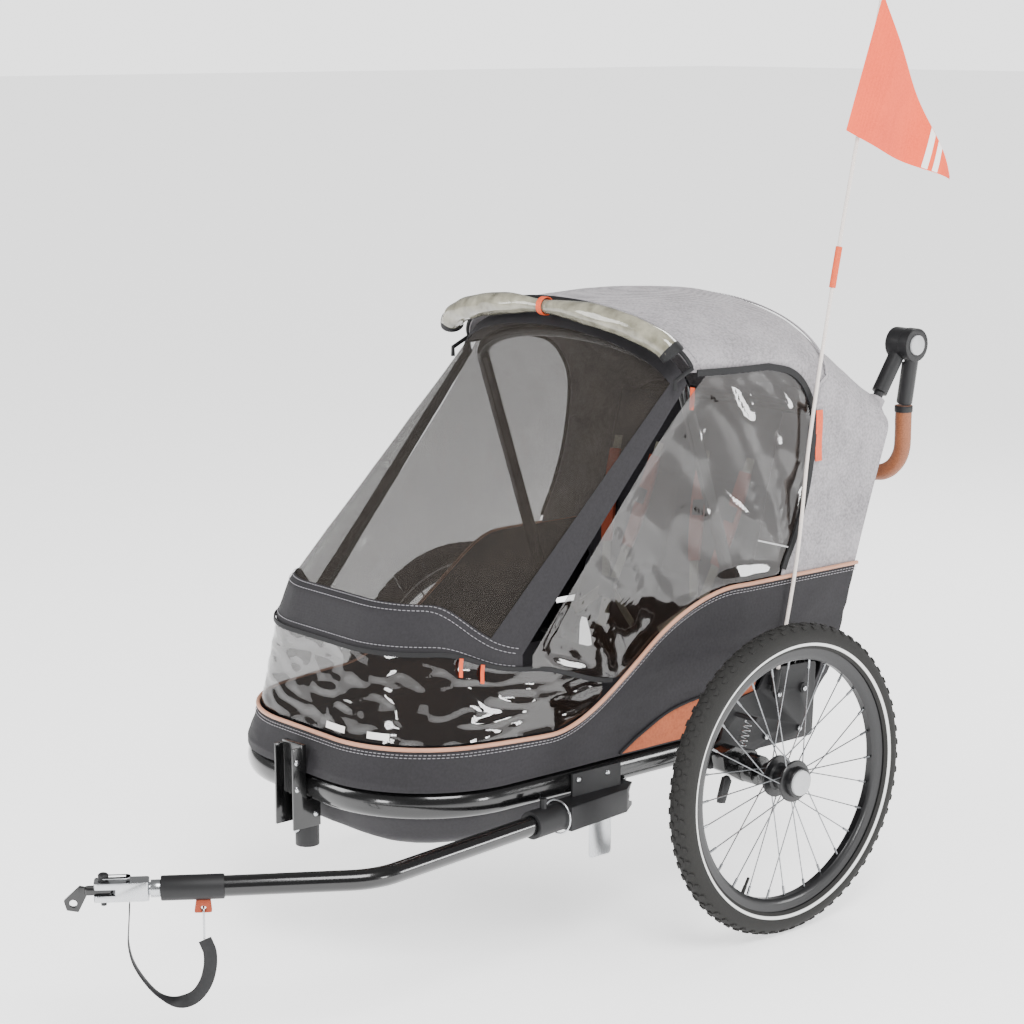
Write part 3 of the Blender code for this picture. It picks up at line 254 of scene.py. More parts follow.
def rounded(points: Sequence[Point], radius: float, steps: int = 8) -> list[Vector]:
    """Round a path's corners with arcs that are tangent to both sides."""
    corners = [Vector(point) for point in points]
    path = [corners[0]]
    for before, corner, after in zip(corners, corners[1:], corners[2:]):
        a, b = (before - corner).normalized(), (after - corner).normalized()
        half = a.angle(b) / 2
        reach = min(radius / math.tan(half), (before - corner).length * 0.49, (after - corner).length * 0.49)
        bend = reach * math.tan(half)
        centre = corner + (a + b).normalized() * (bend / math.sin(half))
        start = corner + a * reach - centre
        end = corner + b * reach - centre
        turn = start.angle(end) if start.length > 1e-6 else 0.0
        for step in range(steps + 1):
            share = step / steps
            if turn < 1e-4:
                path.append(corner)
                break
            spot = (start * math.sin((1 - share) * turn) + end * math.sin(share * turn)) / math.sin(turn)
            path.append(centre + spot)
    return path + [corners[-1]]


def curved(points: Sequence[Point], steps: int = 6) -> list[Vector]:
    """Return a smooth path through points (Catmull-Rom)."""
    spots = [Vector(point) for point in points]
    spots = [spots[0] * 2 - spots[1]] + spots + [spots[-1] * 2 - spots[-2]]
    path = []
    for a, b, c, d in zip(spots, spots[1:], spots[2:], spots[3:]):
        for step in range(steps):
            t = step / steps
            path.append(
                0.5 * (
                    2 * b + (c - a) * t + (2 * a - 5 * b + 4 * c - d) * t**2 + (3 * b - a - 3 * c + d) * t**3
                )
            )
    return path + [spots[-2]]


def carried_frames(path: Sequence[Vector], up: Point) -> list[tuple[Vector, Vector]]:
    """Return a steady pair of cross directions at each point of a path."""
    pairs = []
    side = Vector(up)
    for index, _ in enumerate(path):
        ahead = (path[min(index + 1, len(path) - 1)] - path[max(index - 1, 0)]).normalized()
        side = (side - ahead * side.dot(ahead)).normalized()
        pairs.append((side.copy(), ahead.cross(side)))
    return pairs


def tube(
    name: str,
    path: Sequence[Vector],
    section: Sequence[Point],
    up: Point = (0, 0, 1),
    scale: Sequence[float] | None = None,
    ends: bool = True,
) -> bpy.types.Object:
    """Sweep a closed section along a path.

    Args:
        name: The piece's name.
        path: Points in metres.
        section: (along up, across) points round the section.
        up: Direction that the section's first axis keeps to.
        scale: Section size at each point.
        ends: Whether both ends are capped.

    Returns:
        The swept piece, with UVs in metres.
    """
    rows = []
    for index, (spot, (side, other)) in enumerate(zip(path, carried_frames(path, up))):
        size = scale[index] if scale else 1.0
        rows.append([spot + side * (a * size) + other * (b * size) for a, b in section])
    item = grid(name, rows, closed=True)
    if ends:
        count = len(section)
        last = (len(rows) - 1) * count

        def close(shape: bmesh.types.BMesh) -> None:
            shape.verts.ensure_lookup_table()
            shape.faces.new([shape.verts[i] for i in range(count)])
            shape.faces.new([shape.verts[last + i] for i in range(count)])

        edit(item, close)
    return smoothed(outward(item))


def circle(radius: float, steps: int = 16, tall: float = 1.0) -> list[tuple[float, float]]:
    """Return points round a circle, or an oval that is tall times as high."""
    turn = 2 * math.pi / steps
    return [(radius * tall * math.cos(i * turn), radius * math.sin(i * turn)) for i in range(steps)]


def band(width: float, thickness: float) -> list[tuple[float, float]]:
    """Return the section of flat webbing with soft edges, its width along the first axis."""
    a, b = width / 2, thickness / 2
    return [
        (a, 0),
        (a * 0.94, b),
        (0, b * 1.1),
        (-a * 0.94, b),
        (-a, 0),
        (-a * 0.94, -b),
        (0, -b * 1.1),
        (a * 0.94, -b),
    ]


def turned(
    name: str, profile: Sequence[Point], start: Point, along: Point, steps: int = 48, ring: bool = False
) -> bpy.types.Object:
    """Turn an (along, radius) profile about an axis; a ring joins its last point to its first."""
    matrix = Matrix.Translation(start) @ Vector(along).to_track_quat("Z", "Y").to_matrix().to_4x4()
    rows = [[matrix @ Vector((a, b, z)) for a, b in circle(radius, steps)] for z, radius in profile]
    if ring:
        rows.append(rows[0])
    item = grid(name, rows, closed=True)
    if ring:
        edit(item, lambda shape: bmesh.ops.remove_doubles(shape, verts=shape.verts, dist=1e-6))
    else:
        last = (len(rows) - 1) * steps

        def close(shape: bmesh.types.BMesh) -> None:
            shape.verts.ensure_lookup_table()
            shape.faces.new([shape.verts[i] for i in range(steps)])
            shape.faces.new([shape.verts[last + i] for i in range(steps)])

        edit(item, close)
    return smoothed(outward(item), 30)


def merged(name: str, items: Sequence[bpy.types.Object]) -> bpy.types.Object:
    """Put several meshes into one object and drop the originals."""
    shape = bmesh.new()
    for item in items:
        shape.from_mesh(item.data)
    mesh = bpy.data.meshes.new(name)
    shape.to_mesh(mesh)
    shape.free()
    for material in {m.name: m for item in items for m in item.data.materials if m}.values():
        mesh.materials.append(material)
    for item in items:
        bpy.data.objects.remove(item, do_unlink=True)
    made = bpy.data.objects.new(name, mesh)
    bpy.context.scene.collection.objects.link(made)
    return smoothed(made)


def hung(
    rows: Sequence[Sequence[Vector]]
) -> None:
    """Measure a cloth sheet's flat length along the rows it was made from; the length is then dropped.

    Args:
        rows: The rows of points of its middle surface.
    """
    columns = zip(*rows)
    length = max(sum((Vector(b) - Vector(a)).length for a, b in zip(line, line[1:])) for line in columns)


# Materials


def linear(code: str) -> tuple[float, float, float, float]:
    """Return an sRGB hex colour as linear RGBA."""
    parts = [int(code[i : i + 2], 16) / 255 for i in (1, 3, 5)]
    return (*[c / 12.92 if c <= 0.04045 else ((c + 0.055) / 1.055) ** 2.4 for c in parts], 1.0)


def add_node(
    tree: bpy.types.NodeTree,
    kind: str,
    settings: dict[str, object] | None = None,
    links: dict[str | int, object] | None = None,
) -> bpy.types.Node:
    """Add a node with its settings and the links into it.

    Args:
        tree: The node tree.
        kind: The node's type.
        settings: Values by property or socket name.
        links: Output sockets by the name or index of the input that they feed.

    Returns:
        The node.
    """
    made = tree.nodes.new(kind)
    for key, value in (settings or {}).items():
        if hasattr(made, key):
            setattr(made, key, value)
        else:
            made.inputs[key].default_value = value
    for key, source in (links or {}).items():
        tree.links.new(source, made.inputs[key])
    return made


@dataclass(frozen=True)
class Finish:
    """A surface: two tones that a fine pattern mixes, its shine and its relief.

    pattern_mm is the real spacing of threads, grain or grit, and blotch_mm that of slow changes of tone.
    """

    name: str
    tone: str
    second: str
    roughness: float = 0.5
    spread: float = 0.1
    metallic: float = 0.0
    pattern_mm: float = 1.0
    blotch_mm: float = 60.0
    relief_mm: float = 0.1
    woven: bool = False
    sheen: float = 0.0
    coat: float = 0.0
    see_through: float = 0.0
    passes: float = 0.0
    ior: float = 1.45

    def build(self) -> bpy.types.Material:
        """Return the material, made once."""
        if self.name in bpy.data.materials:
            return bpy.data.materials[self.name]
        made = bpy.data.materials.new(self.name)
        made.use_nodes = True
        tree = made.node_tree
        shader = tree.nodes["Principled BSDF"]
        place = add_node(tree, "ShaderNodeTexCoord").outputs["Object"]
        fine = self.fine_pattern(tree, place)
        slow = add_node(
            tree, "ShaderNodeTexNoise", {"Scale": 1 / (self.blotch_mm * MM), "Detail": 4.0}, {"Vector": place}
        )
        blend = add_node(
            tree, "ShaderNodeMath", {"operation": "MULTIPLY_ADD"}, {0: slow.outputs["Fac"], 2: fine}
        )
        blend.inputs[1].default_value = 0.55
        tone = add_node(
            tree, "ShaderNodeMapRange", {"From Min": 0.35, "From Max": 1.15}, {"Value": blend.outputs[0]}
        )
        mix = add_node(tree, "ShaderNodeMix", {"data_type": "RGBA"}, {0: tone.outputs[0]})
        mix.inputs[6].default_value = linear(self.tone)
        mix.inputs[7].default_value = linear(self.second)
        tree.links.new(self.marked(tree, place, mix.outputs[2]), shader.inputs["Base Color"])
        rough = add_node(
            tree,
            "ShaderNodeMapRange",
            {
                "To Min": max(self.roughness - self.spread, 0.02),
                "To Max": min(self.roughness + self.spread, 1.0),
            },
            {"Value": slow.outputs["Fac"]},
        )
        tree.links.new(rough.outputs[0], shader.inputs["Roughness"])
        bump = add_node(
            tree, "ShaderNodeBump", {"Strength": 0.6, "Distance": self.relief_mm * MM}, {"Height": fine}
        )
        tree.links.new(bump.outputs[0], shader.inputs["Normal"])
        shader.inputs["Metallic"].default_value = self.metallic
        if self.metallic < 0.5:
            shader.inputs["IOR"].default_value = self.ior
        shader.inputs["Sheen Weight"].default_value = self.sheen
        shader.inputs["Coat Weight"].default_value = self.coat
        shader.inputs["Coat Roughness"].default_value = 0.08
        shader.inputs["Transmission Weight"].default_value = self.passes
        if self.see_through > 0:
            self.open_up(tree, shader)
        return made

    def fine_pattern(self, tree: bpy.types.NodeTree, place: bpy.types.NodeSocket) -> bpy.types.NodeSocket:
        """Return the fine pattern's height: crossed threads on a weave, else grain."""
        if not self.woven:
            grain = add_node(
                tree,
                "ShaderNodeTexNoise",
                {"Scale": 1 / (self.pattern_mm * MM), "Detail": 3.0},
                {"Vector": place},
            )
            return grain.outputs["Fac"]
        threads = []
        for way in ("X", "Y", "Z"):
            wave = add_node(
                tree,
                "ShaderNodeTexWave",
                {
                    "bands_direction": way,
                    "Scale": 0.314 / (self.pattern_mm * MM),
                    "Distortion": 1.2,
                    "Detail": 1.0,
                },
                {"Vector": place},
            )
            threads.append(wave.outputs["Fac"])
        first = add_node(tree, "ShaderNodeMath", {"operation": "MULTIPLY"}, {0: threads[0], 1: threads[1]})
        speckle = add_node(
            tree,
            "ShaderNodeTexNoise",
            {"Scale": 0.35 / (self.pattern_mm * MM), "Detail": 5.0},
            {"Vector": place},
        )
        both = add_node(tree, "ShaderNodeMath", {"operation": "ADD"}, {0: first.outputs[0], 1: threads[2]})
        mixed = add_node(
            tree,
            "ShaderNodeMath",
            {"operation": "MULTIPLY_ADD"},
            {0: both.outputs[0], 2: speckle.outputs["Fac"]},
        )
        mixed.inputs[1].default_value = 0.22
        return mixed.outputs[0]

    def marked(
        self, tree: bpy.types.NodeTree, place: bpy.types.NodeSocket, colour: bpy.types.NodeSocket
    ) -> bpy.types.NodeSocket:
        """Return the colour with the finish's own marks; a plain finish has none."""
        return colour

    def open_up(self, tree: bpy.types.NodeTree, shader: bpy.types.Node) -> None:
        """Let a see-through share of the surface pass straight through."""
        shader.inputs["Alpha"].default_value = 1 - self.see_through


@dataclass(frozen=True)
class NetFinish(Finish):
    """Insect netting: fine crossed threads with open holes, read from the piece's own UVs in metres."""

    thread_mm: float = 1.9

    def open_up(self, tree: bpy.types.NodeTree, shader: bpy.types.Node) -> None:
        """Open the holes between the threads, drawn at twice their real spacing so that they show."""
        chart = add_node(tree, "ShaderNodeUVMap").outputs["UV"]
        total = None
        for way in ("X", "Y"):
            wave = add_node(
                tree, "ShaderNodeTexWave", {
                    "bands_direction": way, "Scale": 0.314 / (self.thread_mm * MM)
                }, {"Vector": chart}
            ).outputs["Fac"]
            if total is None:
                total = wave
            else:
                total = add_node(
                    tree, "ShaderNodeMath", {"operation": "MAXIMUM"}, {0: total, 1: wave}
                ).outputs[0]
        cover = add_node(
            tree, "ShaderNodeMapRange", {"From Min": 0.25, "To Min": 0.10, "To Max": 0.62}, {"Value": total}
        )
        tree.links.new(cover.outputs[0], shader.inputs["Alpha"])


@dataclass(frozen=True)
class TyreFinish(Finish):
    """Tyre rubber with the bright reflecting ring moulded into the sidewall."""

    hub_z: float = 0.25
    ring_low: float = 0.2165
    ring_high: float = 0.2212

    def marked(
        self, tree: bpy.types.NodeTree, place: bpy.types.NodeSocket, colour: bpy.types.NodeSocket
    ) -> bpy.types.NodeSocket:
        """Return the rubber's colour with the reflecting ring at its radius."""
        flat = add_node(
            tree, "ShaderNodeVectorMath", {"operation": "MULTIPLY"}, {0: place}
        )
        flat.inputs[1].default_value = (0, 1, 1)
        shifted = add_node(tree, "ShaderNodeVectorMath", {"operation": "SUBTRACT"}, {0: flat.outputs[0]})
        shifted.inputs[1].default_value = (0, 0, self.hub_z)
        reach = add_node(
            tree, "ShaderNodeVectorMath", {"operation": "LENGTH"}, {0: shifted.outputs[0]}
        ).outputs["Value"]
        edge = 0.0004
        inner = add_node(
            tree, "ShaderNodeMapRange", {
                "From Min": self.ring_low - edge, "From Max": self.ring_low + edge
            }, {"Value": reach}
        )
        outer = add_node(
            tree,
            "ShaderNodeMapRange",
            {
                "From Min": self.ring_high - edge,
                "From Max": self.ring_high + edge,
                "To Min": 1.0,
                "To Max": 0.0,
            },
            {"Value": reach},
        )
        both = add_node(
            tree, "ShaderNodeMath", {"operation": "MULTIPLY"}, {0: inner.outputs[0], 1: outer.outputs[0]}
        )
        mix = add_node(tree, "ShaderNodeMix", {"data_type": "RGBA"}, {0: both.outputs[0], 6: colour})
        mix.inputs[7].default_value = linear("#d9dad8")
        return mix.outputs[2]


# Heathered polyester: pale and dark grey yarns together, matt, with a visible cross weave.
HEATHER_GREY = Finish(
    "heather_polyester",
    "#4f4d50",
    "#a29ea1",
    0.9,
    0.06,
    pattern_mm=1.5,
    relief_mm=0.3,
    woven=True,
    sheen=0.04,
)
# Coated black oxford cloth: near black, with a faint even sheen where light grazes it.
BLACK_OXFORD = Finish(
    "black_oxford_cloth",
    "#0e0d0f",
    "#232125",
    0.72,
    0.1,
    pattern_mm=1.4,
    relief_mm=0.3,
    woven=True,
    sheen=0.02,
)
# Safety webbing: black polyester, ribbed across, slightly shiny on its ribs.
STRAP_WEBBING = Finish(
    "safety_webbing", "#09090a", "#1d1d1f", 0.6, 0.08, pattern_mm=1.6, relief_mm=0.35, woven=True
)
# Satin edge piping over cord: pale copper, brighter along its ridge.
COPPER_PIPING = Finish(
    "satin_piping", "#9c6a52", "#cb9a80", 0.45, 0.1, pattern_mm=0.9, relief_mm=0.15, sheen=0.05
)
# Rust ventilation cloth: a soft open knit.
RUST_KNIT = Finish(
    "rust_knit", "#74371f", "#a85a39", 0.85, 0.05, pattern_mm=1.6, relief_mm=0.4, woven=True, sheen=0.05
)
# Black piping and tape with a tight rib.
BLACK_TAPE = Finish("bound_tape", "#080808", "#18181a", 0.7, 0.08, pattern_mm=1.2, relief_mm=0.25, woven=True)
# Netting thread: dull, warm where light shows through it.
NETTING = NetFinish("insect_netting", "#1d1916", "#3a342e", 0.85, 0.05, pattern_mm=1.5, see_through=0.6)
# Smoky PVC window sheet: clear, glossy and softly creased, with a brown-grey cast.
SMOKY_PVC = Finish(
    "smoky_pvc",
    "#130e0b",
    "#241b16",
    0.05,
    0.03,
    pattern_mm=150,
    blotch_mm=90,
    relief_mm=4.0,
    see_through=0.60,
    ior=2.2,
)
# The rolled rain cover: many layers of clear sheet read milky olive, still shiny.
ROLLED_PVC = Finish(
    "rolled_pvc",
    "#4d4a3d",
    "#b5b19d",
    0.10,
    0.06,
    pattern_mm=22,
    blotch_mm=26,
    relief_mm=2.0,
    passes=0.2,
    coat=0.8,
)
# Gloss black enamel on steel tube: deep black with a hard clear highlight.
BLACK_ENAMEL = Finish(
    "gloss_black_enamel", "#060606", "#0e0e0f", 0.22, 0.06, pattern_mm=4, relief_mm=0.02, coat=0.7
)
# Moulded nylon: charcoal black, evenly fine-grained.
BLACK_NYLON = Finish("moulded_nylon", "#0c0c0d", "#1b1b1d", 0.5, 0.08, pattern_mm=0.8, relief_mm=0.06)
# Bright zinc-plated steel, lightly brushed.
ZINC_STEEL = Finish(
    "zinc_plated_steel", "#a9abae", "#dadcde", 0.26, 0.1, metallic=1.0, pattern_mm=1.0, relief_mm=0.02
)
# Spoke steel: dark stainless wire.
SPOKE_STEEL = Finish(
    "stainless_spoke_wire", "#66686b", "#a6a8ab", 0.3, 0.1, metallic=1.0, pattern_mm=2.0, relief_mm=0.01
)
# Tyre rubber: charcoal, dusty on the knobs, with the reflecting ring on the wall.
TYRE_RUBBER = TyreFinish("tyre_rubber", "#111111", "#282725", 0.82, 0.08, pattern_mm=1.2, relief_mm=0.12)
# Anodised black rim: satin, slightly lighter than the enamel.
BLACK_RIM = Finish(
    "black_anodised_rim", "#0a0a0b", "#19191b", 0.36, 0.08, pattern_mm=2.5, relief_mm=0.02, coat=0.2
)
# Light grey acetal caps and buttons.
GREY_ACETAL = Finish("grey_acetal", "#9c9d9f", "#c4c5c6", 0.4, 0.06, pattern_mm=0.9, relief_mm=0.04)
# Tan leatherette round the push bar: pebbled, with a soft shine.
TAN_LEATHER = Finish(
    "tan_leatherette", "#63341c", "#9c5f3b", 0.52, 0.1, pattern_mm=2.2, relief_mm=0.35, coat=0.1
)
# Harness webbing: khaki, ribbed across.
KHAKI_WEBBING = Finish(
    "khaki_webbing", "#57554a", "#8f8d7e", 0.8, 0.06, pattern_mm=1.8, relief_mm=0.4, woven=True
)
# Harness pads: rust red suede cloth.
RUST_SUEDE = Finish("rust_suede", "#7a2f1c", "#ae5033", 0.9, 0.05, pattern_mm=1.2, relief_mm=0.2, sheen=0.1)
# Seat cloth: charcoal twill.
SEAT_TWILL = Finish(
    "charcoal_twill", "#121114", "#2a282d", 0.88, 0.05, pattern_mm=1.5, relief_mm=0.3, woven=True, sheen=0.03
)
# Thin flag nylon: saturated orange-red, lit through.
FLAG_NYLON = Finish(
    "flag_nylon", "#d23a15", "#f2562a", 0.6, 0.05, pattern_mm=1.0, relief_mm=0.1, woven=True, sheen=0.05
)
# Pale reflecting print on the flag stripes; on the clear band the same pale finish is painted highlight.
PALE_PRINT_AND_HIGHLIGHT = Finish("pale_reflector", "#e6e2dd", "#f7f5f2", 0.35, 0.08, pattern_mm=1.0, relief_mm=0.05)
# Bright orange pull tabs and tags.
ORANGE_TAB = Finish("orange_tab", "#b83a17", "#e05a2d", 0.6, 0.06, pattern_mm=1.2, relief_mm=0.2, woven=True)
# Flag pole: glass-fibre rod, warm white and slightly fibrous.
GLASS_FIBRE = Finish(
    "glass_fibre_rod", "#c9bdb6", "#ebe2dc", 0.35, 0.08, pattern_mm=1.5, relief_mm=0.03, coat=0.2
)
FLOOR_PAPER = Finish("floor_paper", "#f4f4f4", "#f8f8f8", 0.9, 0.03, pattern_mm=5, relief_mm=0.01)


class Body(str, Enum):
    """Bodies that pieces ride on."""

    CHASSIS = "chassis"
    REAR_HOOP = "rear_hoop"
    FRONT_HOOP = "front_hoop"
    PUSH_HANDLE = "push_handle"
    TOW_ARM = "tow_arm"
    FLAG = "flag"


def settle(
    item: bpy.types.Object, body: str, finish: Finish, replaces: Sequence[
        str
    ] = (), folds: bool = False
) -> bpy.types.Object:
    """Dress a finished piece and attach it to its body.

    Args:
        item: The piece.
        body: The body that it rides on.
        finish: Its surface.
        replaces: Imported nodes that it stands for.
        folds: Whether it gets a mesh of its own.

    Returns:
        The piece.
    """
    item.data.materials.clear()
    item.data.materials.append(finish.build())
    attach(item, str(getattr(body, "value", body)))
    if replaces:
        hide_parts(*replaces)
    if folds:
        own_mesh(item)
    LOG.info("%s: %d faces on %s", item.name, len(item.data.polygons), body)
    return item


# Repeats, as Geometry Nodes trees


class RepeatTree:
    """Trees that repeat one small piece along a path or round an axis."""

    @staticmethod
    def start(name: str, sockets: dict[str, str]) -> tuple[
        bpy.types.NodeTree, bpy.types.Node, bpy.types.Node
    ]:
        """Return a new tree with its geometry and named inputs, and its two group nodes."""
        tree = bpy.data.node_groups.new(name, "GeometryNodeTree")
        tree.interface.new_socket("Geometry", in_out="INPUT", socket_type="NodeSocketGeometry")
        for key, kind in sockets.items():
            tree.interface.new_socket(key, in_out="INPUT", socket_type=kind)
        tree.interface.new_socket("Geometry", in_out="OUTPUT", socket_type="NodeSocketGeometry")
        return tree, tree.nodes.new("NodeGroupInput"), tree.nodes.new("NodeGroupOutput")

    @staticmethod
    def close(
        tree: bpy.types.NodeTree,
        instances: bpy.types.Node,
        end: bpy.types.Node,
        material: bpy.types.NodeSocket,
    ) -> None:
        """End the tree in Realize Instances and Set Material."""
        real = add_node(tree, "GeometryNodeRealizeInstances", None, {0: instances.outputs[0]})
        dressed = add_node(
            tree, "GeometryNodeSetMaterial", None, {"Geometry": real.outputs[0], "Material": material}
        )
        tree.links.new(dressed.outputs[0], end.inputs[0])

    @classmethod
    def along(cls) -> bpy.types.NodeTree:
        """Return the tree that sets pieces along a curve at a spacing."""
        name = "pieces_along_path"
        if name in bpy.data.node_groups:
            return bpy.data.node_groups[name]
        sockets = {
            "Piece": "NodeSocketObject", "Spacing": "NodeSocketFloat", "Material": "NodeSocketMaterial"
        }
        tree, start, end = cls.start(name, sockets)
        spots = add_node(
            tree,
            "GeometryNodeCurveToPoints",
            {"mode": "LENGTH"},
            {"Curve": start.outputs["Geometry"], "Length": start.outputs["Spacing"]},
        )
        info = add_node(tree, "GeometryNodeObjectInfo", None, {"Object": start.outputs["Piece"]})
        copies = add_node(
            tree,
            "GeometryNodeInstanceOnPoints",
            None,
            {
                "Points": spots.outputs["Points"],
                "Instance": info.outputs["Geometry"],
                "Rotation": spots.outputs["Rotation"],
            },
        )
        cls.close(tree, copies, end, start.outputs["Material"])
        return tree

    @classmethod
    def around(cls) -> bpy.types.NodeTree:
        """Return the tree that repeats its own geometry round the X axis."""
        name = "pieces_round_axis"
        if name in bpy.data.node_groups:
            return bpy.data.node_groups[name]
        sockets = {"Count": "NodeSocketInt", "Material": "NodeSocketMaterial"}
        tree, start, end = cls.start(name, sockets)
        line = add_node(
            tree, "GeometryNodeMeshLine", {"Offset": (0, 0, 0)}, {"Count": start.outputs["Count"]}
        )
        index = add_node(tree, "GeometryNodeInputIndex")
        step = add_node(tree, "ShaderNodeMath", {"operation": "DIVIDE"}, {1: start.outputs["Count"]})
        step.inputs[0].default_value = 2 * math.pi
        turn = add_node(
            tree, "ShaderNodeMath", {"operation": "MULTIPLY"}, {0: index.outputs[0], 1: step.outputs[0]}
        )
        euler = add_node(tree, "ShaderNodeCombineXYZ", None, {"X": turn.outputs[0]})
        copies = add_node(
            tree,
            "GeometryNodeInstanceOnPoints",
            None,
            {"Points": line.outputs[0], "Instance": start.outputs["Geometry"], "Rotation": euler.outputs[0]},
        )
        cls.close(tree, copies, end, start.outputs["Material"])
        return tree

    @staticmethod
    def run(item: bpy.types.Object, tree: bpy.types.NodeTree, values: dict[str, object]) -> bpy.types.Object:
        """Run a tree on an object with its inputs set, and keep the plain mesh."""
        modifier = item.modifiers.new("Repeat", "NODES")
        modifier.node_group = tree
        for socket in tree.interface.items_tree:
            if socket.in_out == "INPUT" and socket.name in values:
                modifier[socket.identifier] = values[socket.name]
        return baked(item)


def repeated_round(
    piece: bpy.types.Object, count: int, finish: Finish, centre: Point, mirrored: bool = False
) -> bpy.types.Object:
    """Repeat a piece made about the X axis through the origin, then move it to its centre."""
    made = RepeatTree.run(piece, RepeatTree.around(), {"Count": count, "Material": finish.build()})
    if mirrored:
        made.data.transform(Matrix.Scale(-1, 4, (1, 0, 0)))
        made.data.flip_normals()
    made.data.transform(Matrix.Translation(centre))
    return made


def stitches(name: str, path: Sequence[Vector], finish: Finish, spacing: float = 0.006) -> bpy.types.Object:
    """Sew a row of thread stitches along a path."""
    thread = 0.55 * MM
    stitch = tube(
        "stitch",
        [Vector((0, 0, -spacing * 0.32)), Vector((0, 0, spacing * 0.32))],
        circle(thread, 6),
        up=(1, 0, 0),
    )
    curve = bpy.data.curves.new(name, "CURVE")
    curve.dimensions = "3D"
    spline = curve.splines.new("POLY")
    spline.points.add(len(path) - 1)
    for target, spot in zip(spline.points, path):
        target.co = (*spot, 1.0)
    line = bpy.data.objects.new(name, curve)
    bpy.context.scene.collection.objects.link(line)
    values = {"Piece": stitch, "Spacing": spacing, "Material": finish.build()}
    made = RepeatTree.run(line, RepeatTree.along(), values)
    bpy.data.objects.remove(stitch, do_unlink=True)
    return made


# The cabin's shape, shared by all its cloth


